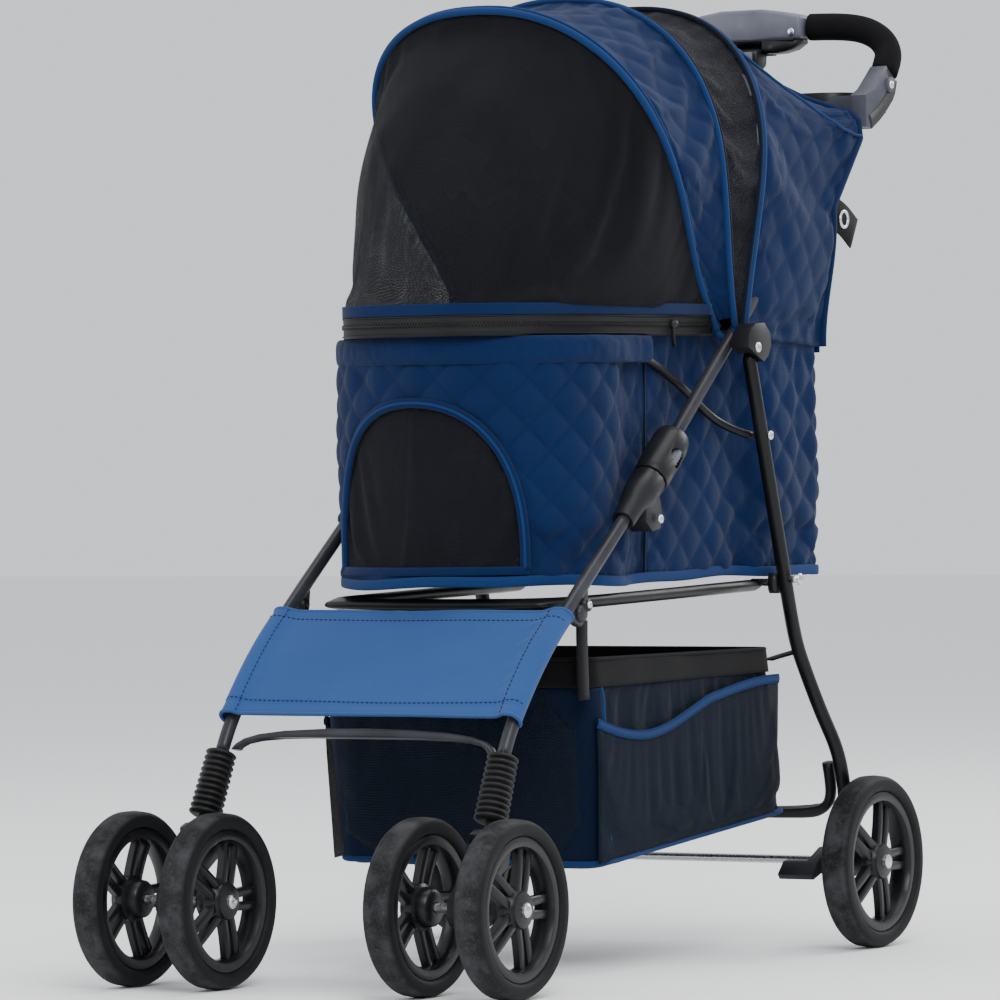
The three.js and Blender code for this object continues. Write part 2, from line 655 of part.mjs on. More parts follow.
function archRow(arch, count, aside) {
  const at = (j) => archPoint(arch, j / count, 0, arch.foot, FABRIC_LOW, aside);
  return Array.from({ length: count + 1 }, (_, j) => at(j));
}

function hoopTube(arch) {
  const points = Array.from({ length: 27 }, (_, j) => archPoint(arch, j / 26, 6.5, arch.tubeFoot, 13));
  const extrudePath = new THREE.CatmullRomCurve3(points);
  return new THREE.ExtrudeGeometry(circle(3, 6), { steps: 26, extrudePath });
}
add('front_hoop', hoopTube(ARCHES.front), 'blackPaint');
add('mid_hoop', hoopTube(ARCHES.mid), 'blackPaint');
add('rear_hoop', hoopTube(ARCHES.rear), 'blackPaint');

// Fabric between two arches, trimmed back from each arch by half a seam.
function archSpan(a, b, steps, count) {
  const rowA = archRow(a, count, SEAM_HALF);
  const rowB = archRow(b, count, -SEAM_HALF);
  const between = (t) => rowA.map((p, j) => p.clone().lerp(rowB[j], t));
  return Array.from({ length: steps + 1 }, (_, i) => between(i / steps));
}
add('canopy_band', sheet(archSpan(ARCHES.front, ARCHES.mid, 2, 20), 1.4), 'navyFabric');
add('mid_mesh', sheet(archSpan(ARCHES.mid, ARCHES.rear, 2, 20), 1.4), 'meshFabric');

// Front mesh from the front arch down to the zip line round the cabin mouth.
const ZIP_Z = RIM_Z + 15;
function zipPoint(u) {
  const a = Math.PI * u;
  const back = HINGE[0] - 22;
  const x = 143 * Math.sign(Math.cos(a)) * Math.abs(Math.cos(a)) ** 0.62;
  return V(x, back - (back - CABIN_FRONT + 12) * Math.sin(a) ** 0.9, ZIP_Z);
}
function frontMeshRows(count, steps) {
  const top = archRow(ARCHES.front, count, -SEAM_HALF);
  return Array.from({ length: steps + 1 }, (_, i) => {
    const t = i / steps;
    return top.map((p, j) => {
      const point = p.clone().lerp(zipPoint(j / count), t);
      const bulge = 34 * Math.sin(Math.PI * t) * Math.sin(Math.PI * (j / count)) ** 1.5;
      return point.add(V(0, -bulge * 0.8, bulge * 0.45));
    });
  });
}
add('front_mesh', sheet(frontMeshRows(20, 4).toReversed(), 1.4), 'meshFabric');

// Rear edge of the hood: an arch behind the handle tubes, then down both rear corners of the cabin.
const HOOD_CROWN = 0.68;
const HOOD_Y = 768;
const HOOD_EDGE = [[0, 897], [53, 872], [102, 849], [140, 836], [157, 831], [165, 823], [167.2, 806]];
function backY(z) {
  if (z >= 806) return HOOD_Y;
  if (z >= 735) return mix(708, HOOD_Y, (z - 735) / 71);
  return mix(CABIN_REAR - 2, 708, (z - RIM_Z) / (735 - RIM_Z));
}
function rearEdgePoint(u) {
  const s = 1 - 2 * u;
  const t = Math.abs(s);
  const side = Math.sign(s) || 1;
  if (t <= HOOD_CROWN) {
    const place = (t / HOOD_CROWN) * (HOOD_EDGE.length - 1);
    const i = Math.min(Math.floor(place), HOOD_EDGE.length - 2);
    const [x, z] = [0, 1].map((k) => mix(HOOD_EDGE[i][k], HOOD_EDGE[i + 1][k], place - i));
    return V(side * x, HOOD_Y, z);
  }
  const k = (t - HOOD_CROWN) / (1 - HOOD_CROWN);
  const z = mix(806, RIM_Z + 6, k);
  return V(side * mix(167.4, 151, smooth((k - 0.4) / 0.6)), backY(z), z);
}
function rearHoodRows(count, steps) {
  const front = archRow(ARCHES.rear, count, SEAM_HALF);
  const between = (t) => front.map((p, j) => p.clone().lerp(rearEdgePoint(j / count), t));
  return Array.from({ length: steps + 1 }, (_, i) => between(i / steps));
}
add('rear_hood', sheet(rearHoodRows(24, 4), 1.4), 'navyFabric');

// Rear wall of the hood, just inside its rear edge, from the cabin rim up to the handle tubes.
function rearWallRows() {
  const levels = [RIM_Z + 6, 640, 690, 735, 770, 805];
  return levels.map((z) => Array.from({ length: 9 }, (_, j) => {
    const half = z > 730 ? 145 : 147;
    return V(half * (1 - j / 4), backY(z) - 4, z);
  }));
}
add('rear_wall', sheet(rearWallRows(), 1.4), 'navyFabric');

// ---- Storage basket -----------------------------------------------------------------------------
function basketOutline(z, front, rear, half) {
  const r = 18;
  const corner = (cx, cy, from) => [0, 1, 2].map((i) => {
    const a = THREE.MathUtils.degToRad(from + 45 * i);
    return [cx + r * Math.cos(a), cy + r * Math.sin(a)];
  });
  const points = [
    ...corner(half - r, front + r, -90), ...corner(half - r, rear - r, 0),
    ...corner(-half + r, rear - r, 90), ...corner(-half + r, front + r, 180),
  ];
  return points.map(([x, y]) => V(x, y, z + (y - front) * 0.085 * (z < 200 ? 1 : -0.1)));
}
const basketLevels = [
  basketOutline(102, BASKET_FRONT, BASKET_REAR - 8, BASKET_HALF - 4),
  basketOutline(BASKET_TOP - 90, BASKET_FRONT - 12, BASKET_REAR - 22, BASKET_HALF),
  basketOutline(BASKET_TOP, BASKET_FRONT - 24, BASKET_REAR - 42, BASKET_HALF),
];
add('storage_basket', tub(basketLevels, 4), 'meshFabric');

export default model;
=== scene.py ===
# The looks of a folding pet stroller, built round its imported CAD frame.
# Helpers take millimetres with Y measured rearward from the front caster axle, as the frame was
# designed, and turn them into metres in the row frame.
import math
from contextlib import contextmanager

import bmesh
import bpy
import numpy as np
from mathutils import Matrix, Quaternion, Vector


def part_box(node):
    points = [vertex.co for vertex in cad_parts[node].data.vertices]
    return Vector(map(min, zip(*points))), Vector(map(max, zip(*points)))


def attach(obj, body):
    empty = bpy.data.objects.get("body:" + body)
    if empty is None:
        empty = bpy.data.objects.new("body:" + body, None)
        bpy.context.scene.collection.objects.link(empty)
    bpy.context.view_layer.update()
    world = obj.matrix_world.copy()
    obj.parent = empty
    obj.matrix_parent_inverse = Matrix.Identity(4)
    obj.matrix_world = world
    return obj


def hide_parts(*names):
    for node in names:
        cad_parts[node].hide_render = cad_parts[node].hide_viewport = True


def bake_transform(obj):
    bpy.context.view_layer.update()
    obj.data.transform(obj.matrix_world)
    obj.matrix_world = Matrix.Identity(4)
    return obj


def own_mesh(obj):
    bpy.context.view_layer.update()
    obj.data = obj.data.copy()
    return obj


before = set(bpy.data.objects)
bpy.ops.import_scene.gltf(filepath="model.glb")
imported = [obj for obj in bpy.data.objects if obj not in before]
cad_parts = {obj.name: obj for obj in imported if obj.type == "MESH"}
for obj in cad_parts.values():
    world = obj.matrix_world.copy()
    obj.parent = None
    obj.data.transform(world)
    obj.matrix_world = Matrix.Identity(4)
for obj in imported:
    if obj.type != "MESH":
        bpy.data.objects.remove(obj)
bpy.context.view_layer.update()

MM = 0.001


def middle(node):
    low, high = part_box(node)
    return (low + high) / 2


# ---- Places, from the frame -------------------------------------------------------------------
FRONT_Y = middle("caster_axle_right").y
HINGE_Y, HINGE_Z = 521.0, 604.0
FLOOR_Z, RIM_Z = 372.0, 594.0
CABIN_FRONT, CABIN_NOSE, CABIN_REAR = 176.0, 312.0, 715.0
CABIN_HALF, CABIN_WAIST, CABIN_TAIL = 143.0, 132.4, 150.0
FRAME_X = 155.6
ROUNDNESS = 2.3
ARCHES = {
    "front": dict(tilt=35, height=386, half=158, shoulder=207, foot=142),
    "mid": dict(tilt=10, height=338, half=163, shoulder=165, foot=160),
    "rear": dict(tilt=-14, height=340, half=167.4, shoulder=150, foot=166.8),
}
CROWN = 0.68
FABRIC_LOW = 20.0


def place(points):
    """Millimetres from the front axle to metres in the row frame."""
    out = np.array(points, float).reshape(-1, 3) * MM
    out[:, 1] += FRONT_Y
    return out


def spot(x, y, z):
    return Vector(place([(x, y, z)])[0])


def smooth(t):
    t = np.clip(t, 0, 1)
    return t * t * (3 - 2 * t)


def mix(a, b, t):
    return a + (b - a) * t


def ripple(points, wavelength, seed, waves=14):
    """Smooth repeatable noise of about -1 to 1, from a few plane waves."""
    rng = np.random.default_rng(seed)
    p = np.asarray(points, float)
    total = np.zeros(p.shape[:-1])
    for _ in range(waves):
        direction = rng.normal(size=3)
        direction /= np.linalg.norm(direction)
        step = 2 * math.pi / (wavelength * rng.uniform(0.7, 1.6))
        total += np.sin(p @ direction * step + rng.uniform(0, 2 * math.pi))
    return total / math.sqrt(waves)


# ---- Materials ----------------------------------------------------------------------------------
class Nodes:
    """A short way to write node trees."""

    def __init__(self, name):
        self.material = bpy.data.materials.new(name)
        self.material.use_nodes = True
        self.tree = self.material.node_tree
        self.shader = self.tree.nodes["Principled BSDF"]

    def add(self, kind, **inputs):
        node = self.tree.nodes.new(kind)
        for key, value in inputs.items():
            self.put(node.inputs[key.replace("_", " ")], value)
        return node

    def put(self, socket, value):
        if isinstance(value, bpy.types.NodeSocket):
            self.tree.links.new(value, socket)
        else:
            socket.default_value = value

    def math(self, operation, a, b=0.0, clamp=False):
        node = self.tree.nodes.new("ShaderNodeMath")
        node.operation = operation
        node.use_clamp = clamp
        self.put(node.inputs[0], a)
        self.put(node.inputs[1], b)
        return node.outputs[0]

    def noise(self, vector, scale, detail=3.0, rough=0.55):
        node = self.add("ShaderNodeTexNoise", Scale=scale, Detail=detail, Roughness=rough)
        self.put(node.inputs["Vector"], vector)
        return node.outputs[0]

    def ramp(self, factor, low, high, dark, light):
        node = self.tree.nodes.new("ShaderNodeMapRange")
        for socket, value in zip(node.inputs[:5], (factor, low, high, dark, light)):
            self.put(socket, value)
        return node.outputs[0]

    def tint(self, factor, a, b):
        node = self.tree.nodes.new("ShaderNodeMix")
        node.data_type = "RGBA"
        self.put(node.inputs[0], factor)
        self.put(node.inputs[6], (*a, 1) if isinstance(a, tuple) else a)
        self.put(node.inputs[7], (*b, 1) if isinstance(b, tuple) else b)
        return node.outputs[2]

    def bump(self, height, strength, distance):
        node = self.add("ShaderNodeBump", Strength=strength, Distance=distance)
        self.put(node.inputs["Height"], height)
        self.put(self.shader.inputs["Normal"], node.outputs[0])

    def coordinates(self):
        return self.tree.nodes.new("ShaderNodeTexCoord")

    def weave(self, uv, threads):
        """Over-and-under thread height from two crossed bands. threads is per metre."""
        parts = self.add("ShaderNodeSeparateXYZ", Vector=uv)
        across = self.math("SINE", self.math("MULTIPLY", parts.outputs[0], threads * math.pi))
        along = self.math("SINE", self.math("MULTIPLY", parts.outputs[1], threads * math.pi))
        return self.math("MULTIPLY", self.math("ABSOLUTE", across), self.math("ABSOLUTE", along))


def set_sheen(n, weight, roughness=0.5):
    n.shader.inputs["Specular IOR Level"].default_value = 0.06
    n.shader.inputs["Sheen Weight"].default_value = weight
    n.shader.inputs["Sheen Roughness"].default_value = roughness


def cloth_material(name, dark, light, threads=420.0, rough=0.82, sheen=0.06, pitch=None, spread=0.35):
    """Woven polyester. With a pitch it also has dashed stitching along quilted diamonds."""
    n = Nodes(name)
    where = n.coordinates()
    uv = where.outputs["UV"]
    broad = n.ramp(n.noise(where.outputs["Object"], 7.0, 4.0), 0.3, 0.7, 0.0, 1.0)
    fine = n.noise(where.outputs["Object"], 420.0, 2.0)
    thread = n.weave(uv, threads)
    colour = n.tint(n.math("MULTIPLY", broad, spread), dark, light)
    colour = n.tint(n.math("MULTIPLY", n.math("SUBTRACT", 1.0, thread), 0.35), colour,
        tuple(c * 0.55 for c in dark))
    height = n.math("ADD", n.math("MULTIPLY", thread, 0.6), n.math("MULTIPLY", fine, 0.5))
    if pitch:
        parts = n.add("ShaderNodeSeparateXYZ", Vector=uv)
        stitch = None
        for sign in ("ADD", "SUBTRACT"):
            other = "SUBTRACT" if sign == "ADD" else "ADD"
            line = n.math("DIVIDE", n.math(sign, parts.outputs[0], parts.outputs[1]), pitch)
            line = n.math("ABSOLUTE", n.math("SUBTRACT", n.math("FRACT", n.math("ADD", line, 0.5)), 0.5))
            line = n.ramp(line, 0.0, 0.022, 1.0, 0.0)
            dash = n.math("MULTIPLY", n.math(other, parts.outputs[0], parts.outputs[1]), 250.0)
            dash = n.ramp(n.math("FRACT", dash), 0.55, 0.75, 1.0, 0.15)
            line = n.math("MULTIPLY", line, dash, True)
            stitch = line if stitch is None else n.math("MAXIMUM", stitch, line)
        colour = n.tint(n.math("MULTIPLY", stitch, 0.6), colour, tuple(min(1, c * 0.45) for c in dark))
        height = n.math("ADD", height, n.math("MULTIPLY", stitch, 1.2))
    n.put(n.shader.inputs["Base Color"], colour)
    n.put(n.shader.inputs["Roughness"], n.ramp(broad, 0, 1, rough - 0.06, rough + 0.06))
    set_sheen(n, sheen)
    n.bump(height, 0.35, 0.0006)
    return n.material


def net_material(name, dark, light, holes, threads=330.0, rough=0.7):
    """Open mesh cloth: threads with see-through gaps. holes is how open it is, from 0 to 1."""
    n = Nodes(name)
    where = n.coordinates()
    parts = n.add("ShaderNodeSeparateXYZ", Vector=where.outputs["UV"])
    bands = []
    for i in (0, 1):
        wave = n.math("SINE", n.math("MULTIPLY", parts.outputs[i], threads * math.pi * 2))
        bands.append(n.ramp(n.math("ABSOLUTE", wave), 0.25, 0.75, 0.0, 1.0))
    gap = n.math("MULTIPLY", bands[0], bands[1])
    cloud = n.ramp(n.noise(where.outputs["Object"], 9.0, 3.0), 0.3, 0.7, 0.0, 1.0)
    colour = n.tint(cloud, dark, light)
    n.put(n.shader.inputs["Base Color"], colour)
    open_share = n.math("ADD", n.math("MULTIPLY", gap, holes), n.math("MULTIPLY", cloud, 0.05))
    n.put(n.shader.inputs["Alpha"], n.math("SUBTRACT", 1.0, open_share, True))
    n.put(n.shader.inputs["Roughness"], n.ramp(cloud, 0, 1, rough, rough + 0.12))
    set_sheen(n, 0.03)
    n.bump(n.math("SUBTRACT", 1.0, gap), 0.3, 0.0004)
    return n.material


def plastic_material(name, dark, light, rough=0.42, grain=1.0, gloss=0.24):
    """Moulded plastic: fine grain, soft patches and paler worn high spots."""
    n = Nodes(name)
    where = n.coordinates()
    patch = n.ramp(n.noise(where.outputs["Object"], 18.0, 4.0), 0.35, 0.7, 0.0, 1.0)
    wear = n.ramp(n.noise(where.outputs["Object"], 60.0, 6.0, 0.7), 0.62, 0.75, 0.0, 0.5)
    colour = n.tint(patch, dark, light)
    colour = n.tint(wear, colour, tuple(min(1.0, c * 1.5 + 0.01) for c in light))
    n.put(n.shader.inputs["Base Color"], colour)
    n.put(n.shader.inputs["Roughness"], n.ramp(patch, 0, 1, rough - 0.07, rough + 0.08))
    n.shader.inputs["Specular IOR Level"].default_value = gloss
    n.bump(n.noise(where.outputs["Object"], 1500.0, 2.0), 0.22 * grain, 0.0003)
    return n.material


def paint_material(name, dark, light, rough=0.3, metallic=0.0, coat=0.04):
    """Powder-coated steel: orange-peel bump, slight gloss changes and small scuffs."""
    n = Nodes(name)
    where = n.coordinates()
    patch = n.ramp(n.noise(where.outputs["Object"], 25.0, 3.0), 0.35, 0.65, 0.0, 1.0)
    scuff = n.ramp(n.noise(where.outputs["Object"], 130.0, 6.0, 0.75), 0.68, 0.78, 0.0, 0.6)
    colour = n.tint(scuff, n.tint(patch, dark, light), tuple(min(1.0, c * 2 + 0.02) for c in light))
    n.put(n.shader.inputs["Base Color"], colour)
    n.put(n.shader.inputs["Roughness"],
        n.math("ADD", n.ramp(patch, 0, 1, rough, rough + 0.1), n.math("MULTIPLY", scuff, 0.2)))
    n.shader.inputs["Metallic"].default_value = metallic
    n.shader.inputs["Specular IOR Level"].default_value = 0.2
    n.shader.inputs["Coat Weight"].default_value = coat
    n.bump(n.noise(where.outputs["Object"], 520.0, 2.0), 0.12, 0.0004)
    return n.material


def steel_material(name):
    n = Nodes(name)
    where = n.coordinates()
    scratch = n.noise(where.outputs["Object"], 340.0, 5.0, 0.7)
    colour = n.tint(scratch, (0.42, 0.43, 0.45), (0.74, 0.75, 0.77))
    n.put(n.shader.inputs["Base Color"], colour)
    n.put(n.shader.inputs["Roughness"], n.ramp(scratch, 0.3, 0.7, 0.2, 0.38))
    n.shader.inputs["Metallic"].default_value = 1.0
    n.bump(scratch, 0.1, 0.0002)
    return n.material


def tyre_material(name):
    """Foam rubber: black walls, with pale dust on the tread. The tread attribute is 1 on the tread."""
    n = Nodes(name)
    where = n.coordinates()
    tread = n.tree.nodes.new("ShaderNodeAttribute")
    tread.attribute_name = "tread"
    dust = n.ramp(n.noise(where.outputs["Object"], 38.0, 6.0, 0.65), 0.42, 0.72, 0.0, 1.0)
    dust = n.math("MULTIPLY", dust, n.ramp(tread.outputs["Fac"], 0.0, 1.0, 0.08, 1.0))
    speck = n.ramp(n.noise(where.outputs["Object"], 480.0, 3.0, 0.7), 0.55, 0.72, 0.0, 0.6)
    colour = n.tint(dust, (0.006, 0.0062, 0.0072), (0.045, 0.046, 0.05))
    colour = n.tint(n.math("MULTIPLY", speck, n.math("MULTIPLY", tread.outputs["Fac"], 0.6)), colour,
        (0.08, 0.08, 0.085))
    n.put(n.shader.inputs["Base Color"], colour)
    n.put(n.shader.inputs["Roughness"], n.ramp(dust, 0, 1, 0.62, 0.85))
    height = n.math("ADD", n.math("MULTIPLY", dust, 0.5), n.noise(where.outputs["Object"], 900.0, 2.0))
    n.shader.inputs["Specular IOR Level"].default_value = 0.15
    n.bump(height, 0.3, 0.0006)
    return n.material


NAVY_DARK, NAVY_LIGHT = (0.0026, 0.0108, 0.047), (0.0065, 0.0235, 0.086)
# Footrest colours: the footrest is the same navy cloth as the rest, coloured this paler blue as painted
# light, the look of its lit top.
PAINTED_LIT_NAVY_DARK, PAINTED_LIT_NAVY_LIGHT = (0.022, 0.066, 0.2), (0.034, 0.094, 0.27)
M = {
    "quilt": cloth_material("quilted_navy", NAVY_DARK, NAVY_LIGHT, pitch=0.046),
    "navy": cloth_material("plain_navy", NAVY_DARK, NAVY_LIGHT),
    # Footrest cloth: navy with painted light, coloured lighter as if lit.
    "pale": cloth_material("footrest_navy_painted_lit", PAINTED_LIT_NAVY_DARK, PAINTED_LIT_NAVY_LIGHT, sheen=0.08, rough=0.7),
    "piping": cloth_material("piping_blue", (0.006, 0.026, 0.098), (0.012, 0.044, 0.15), threads=700.0),
    "quilt_cabin": cloth_material("quilted_navy_cabin", NAVY_DARK, NAVY_LIGHT, pitch=0.046),
    "basket_cloth": cloth_material("basket_navy", (0.0016, 0.006, 0.02), (0.003, 0.011, 0.034)),
    "lining": cloth_material("lining_navy", (0.003, 0.0065, 0.017), (0.005, 0.011, 0.028)),
    "webbing": cloth_material("black_webbing", (0.004, 0.004, 0.0045), (0.008, 0.008, 0.009),
        threads=620.0),
    "net": net_material("canopy_net", (0.006, 0.0065, 0.009), (0.011, 0.012, 0.015), 0.85),
    "net_mid": net_material("canopy_net_close", (0.008, 0.008, 0.011), (0.015, 0.015, 0.02), 0.6),
    "net_window": net_material("window_net", (0.005, 0.0055, 0.008), (0.009, 0.01, 0.013), 0.3),
    "net_basket": net_material("basket_net", (0.0035, 0.0065, 0.014), (0.006, 0.011, 0.021), 0.22),
    "black": plastic_material("moulded_black", (0.0065, 0.007, 0.0085), (0.012, 0.0125, 0.015), rough=0.38),
    "grey": plastic_material("moulded_grey", (0.085, 0.09, 0.115), (0.12, 0.127, 0.158), rough=0.4),
    "arm_grey": plastic_material("arm_grey", (0.04, 0.042, 0.056), (0.06, 0.063, 0.082), rough=0.45),
    "rim": plastic_material("wheel_black", (0.005, 0.005, 0.0065), (0.009, 0.009, 0.011), rough=0.32),
    "rubber": plastic_material("boot_rubber", (0.005, 0.005, 0.0055), (0.01, 0.01, 0.011), rough=0.5,
        grain=2.0),
    "foam": plastic_material("foam_grip", (0.005, 0.005, 0.0055), (0.008, 0.008, 0.0085), rough=0.9,
        grain=4.0, gloss=0.06),
    "board": cloth_material("board_cloth", (0.012, 0.014, 0.02), (0.02, 0.024, 0.034)),
    "frame": paint_material("frame_black", (0.0035, 0.0037, 0.0045), (0.006, 0.0064, 0.0078), rough=0.34),
    "gunmetal": paint_material("frame_gunmetal", (0.02, 0.021, 0.026), (0.032, 0.033, 0.04), rough=0.3,
        metallic=0.2),
    "steel": steel_material("zinc_steel"),
    "tyre": tyre_material("dusty_tyre"),
    "zip": plastic_material("zip_tape", (0.004, 0.004, 0.0045), (0.008, 0.008, 0.009), rough=0.6,
        grain=3.0),
}


# ---- Mesh helpers -------------------------------------------------------------------------------
def finish_piece(obj, material, body=None, replaces=()):
    obj.data.materials.clear()
    obj.data.materials.append(M[material])
    if body:
        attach(obj, body)
    if replaces:
        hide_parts(*replaces)
    return obj


def new_mesh(name, points, faces, uvs=None, sharp=False):
    """points in design millimetres; uvs per face corner, in metres."""
    mesh = bpy.data.meshes.new(name)
    mesh.from_pydata(place(points).tolist(), [], faces)
    if uvs is not None:
        layer = mesh.uv_layers.new(name="UVMap")
        layer.data.foreach_set("uv", np.asarray(uvs, np.float32).ravel())
    mesh.polygons.foreach_set("use_smooth", [not sharp] * len(mesh.polygons))
    obj = bpy.data.objects.new(name, mesh)
    bpy.context.scene.collection.objects.link(obj)
    return obj


def joined(grid):
    """The grid with its first column again at the end."""
    return np.concatenate([grid, grid[:, :1]], axis=1)


def run_along(path):
    """How far along a path each of its points is."""
    return np.concatenate([[0], np.cumsum(np.linalg.norm(np.diff(path, axis=0), axis=1))])


def lengths(grid, axis):
    step = np.linalg.norm(np.diff(grid, axis=axis), axis=2)
    pad = [(0, 0), (0, 0)]
    pad[axis] = (1, 0)
    return np.pad(np.cumsum(step, axis=axis), pad)


def grid_piece(name, grid, around=False, keep=None, uv=None):
    """A mesh from a grid of points. With around, the last column joins the first.
    keep says which cells are there; the others are left open."""
    n, m = grid.shape[:2]
    wide = joined(grid) if around else grid
    u, v = uv if uv is not None else (lengths(wide, 1) * MM, lengths(wide, 0) * MM)
    columns = m if around else m - 1
    faces, loops = [], []
    for i in range(n - 1):
        for j in range(columns):
            if keep is not None and not keep[i, j]:
                continue
            k = (j + 1) % m
            faces.append((i * m + j, i * m + k, (i + 1) * m + k, (i + 1) * m + j))
            for a, b in ((i, j), (i, j + 1), (i + 1, j + 1), (i + 1, j)):
                loops.append((u[a, b], v[a, b]))
    obj = new_mesh(name, grid.reshape(-1, 3), faces, loops)
    if keep is not None:
        drop_loose(obj)
    return obj


@contextmanager
def editing(obj):
    """A bmesh of an object's mesh, written back at the end."""
    bm = bmesh.new()
    bm.from_mesh(obj.data)
    yield bm
    bm.to_mesh(obj.data)
    bm.free()


def drop_loose(obj):
    with editing(obj) as bm:
        bmesh.ops.delete(bm, geom=[v for v in bm.verts if not v.link_faces], context="VERTS")


def modify(obj, kind, **settings):
    """Adds a modifier and applies it."""
    mod = obj.modifiers.new(kind, kind)
    for key, value in settings.items():
        setattr(mod, key, value)
    deps = bpy.context.evaluated_depsgraph_get()
    mesh = bpy.data.meshes.new_from_object(obj.evaluated_get(deps))
    obj.modifiers.clear()
    old = obj.data
    obj.data = mesh
    bpy.data.meshes.remove(old)
    return obj


def thicken(obj, millimetres, offset=-1.0):
    return modify(obj, "SOLIDIFY", thickness=millimetres * MM, offset=offset)


def normals(grid, around=False):
    if around:
        du = np.roll(grid, -1, 1) - np.roll(grid, 1, 1)
    else:
        du = np.gradient(grid, axis=1)
    cross = np.cross(du, np.gradient(grid, axis=0))
    return cross / np.maximum(np.linalg.norm(cross, axis=2, keepdims=True), 1e-9)


def resample(points, count, closed=False):
    p = np.array(points, float)
    if closed:
        p = np.vstack([p, p[:1]])
    run = run_along(p)
    want = np.linspace(0, run[-1], count + 1 if closed else count)
    out = np.stack([np.interp(want, run, p[:, k]) for k in range(3)], 1)
    return out[:-1] if closed else out


def spline(points, count):
    """A Catmull-Rom curve through the points, evenly spaced."""
    p = np.array(points, float)
    p = np.vstack([2 * p[0] - p[1], p, 2 * p[-1] - p[-2]])
    out = []
    for i in range(1, len(p) - 2):
        t = np.linspace(0, 1, 24, endpoint=False)[:, None]
        a, b, c, d = p[i - 1], p[i], p[i + 1], p[i + 2]
        out.append(0.5 * (2 * b + (c - a) * t + (2 * a - 5 * b + 4 * c - d) * t**2
            + (3 * b - a - 3 * c + d) * t**3))
    return resample(np.vstack(out + [p[-2:-1]]), count)


def carried_frames(path, closed=False, up=(0, 0, 1)):
    """Side and up directions along a path that turn as little as they can."""
    tangent = np.roll(path, -1, 0) - np.roll(path, 1, 0) if closed else np.gradient(path, axis=0)
    tangent /= np.linalg.norm(tangent, axis=1, keepdims=True)
    side = np.cross(tangent[0], up)
    if np.linalg.norm(side) < 1e-3:
        side = np.cross(tangent[0], (1, 0, 0))
    sides = []
    for t in tangent:
        side = side - t * (side @ t)
        side /= np.linalg.norm(side)
        sides.append(side)
    sides = np.array(sides)
    return tangent, sides, np.cross(sides, tangent)


def sweep(name, path, section, closed=False, taper=None, up=(0, 0, 1)):
    """Sweeps a closed section of (side, up) pairs along a path, with its ends filled."""
    path = np.array(path, float)
    _, side, rise = carried_frames(path, closed, up)
    section = np.array(section, float)
    scale = np.ones(len(path)) if taper is None else np.array(taper)
    rings = path[:, None] + scale[:, None, None] * (
        section[None, :, :1] * side[:, None] + section[None, :, 1:] * rise[:, None])
    n, m = rings.shape[:2]
    run = run_along(path) * MM
    girth = run_along(np.vstack([section, section[:1]])) * MM
    faces, loops = [], []
    for i in range(n if closed else n - 1):
        k = (i + 1) % n
        far = run[k] if k else run[-1] + np.linalg.norm(path[0] - path[-1]) * MM
        for j in range(m):
            l = (j + 1) % m
            faces.append((i * m + j, k * m + j, k * m + l, i * m + l))
            loops += [(run[i], girth[j]), (far, girth[j]), (far, girth[j + 1]), (run[i], girth[j + 1])]
    if not closed:
        for ring, order in ((0, range(m)), (n - 1, range(m - 1, -1, -1))):
            faces.append(tuple(ring * m + j for j in order))
            loops += [(section[j][0] * MM, section[j][1] * MM) for j in order]
    obj = new_mesh(name, rings.reshape(-1, 3), faces, loops)
    turn_outward(obj)
    return obj


def turn_outward(obj):
    with editing(obj) as bm:
        bmesh.ops.recalc_face_normals(bm, faces=bm.faces)


def ring(radius, sides=12, squeeze=1.0):
    a = np.linspace(0, 2 * math.pi, sides, endpoint=False)
    return np.stack([radius * np.cos(a), radius * squeeze * np.sin(a)], 1)


def cord(name, path, radius, material, body=None, sides=10):
    return finish_piece(sweep(name, path, ring(radius, sides)), material, body)


def strap_section(width, thick):
    w, t = width / 2, thick / 2
    e = t * 0.6
    return [(-w, -t + e), (-w + e, -t), (w - e, -t), (w, -t + e), (w, t - e), (w - e, t), (-w + e, t),
        (-w, t - e)]


def rod(name, path, section, material, body=None, **more):
    """A swept piece, finished."""
    return finish_piece(sweep(name, path, section, **more), material, body)


TRIM_SECTION = [(-7.5, -8.8), (-6.5, -9.8), (6.5, -9.8), (7.5, -8.8), (7.5, 8.8), (6.5, 9.8),
    (-6.5, 9.8), (-7.5, 8.8)]


def lathe(name, profile, start, direction, segments=32):
    """Turns [radius, height] pairs about the line from start along direction."""
    axis = np.array(direction, float)
    axis /= np.linalg.norm(axis)
    side = np.cross(axis, (0, 0, 1) if abs(axis[2]) < 0.9 else (0, 1, 0))
    side /= np.linalg.norm(side)
    other = np.cross(axis, side)
    a = np.linspace(0, 2 * math.pi, segments, endpoint=False)
    spin = np.cos(a)[:, None] * side + np.sin(a)[:, None] * other
    points = [np.array(start) + axis * h + spin * r for r, h in profile if r > 1e-6]
    m = segments
    faces = []
    for i in range(len(points) - 1):
        for j in range(m):
            k = (j + 1) % m
            faces.append((i * m + j, i * m + k, (i + 1) * m + k, (i + 1) * m + j))
    if profile[0] == profile[-1]:
        faces = faces[:-m] + [((len(points) - 2) * m + j, (len(points) - 2) * m + (j + 1) % m,
            (j + 1) % m, j) for j in range(m)]
        points = points[:-1]
    else:
        faces.append(tuple(range(m - 1, -1, -1)))
        faces.append(tuple((len(points) - 1) * m + j for j in range(m)))
    obj = new_mesh(name, np.vstack(points), faces)
    turn_outward(obj)
    return obj


def join(name, objs):
    """One mesh from several, keeping their places and UVs."""
    bm = bmesh.new()
    for obj in objs:
        bm.from_mesh(obj.data)
        bpy.data.objects.remove(obj)
    mesh = bpy.data.meshes.new(name)
    bm.to_mesh(mesh)
    bm.free()
    out = bpy.data.objects.new(name, mesh)
    bpy.context.scene.collection.objects.link(out)
    return out


def sides():
    return (("right", 1), ("left", -1))


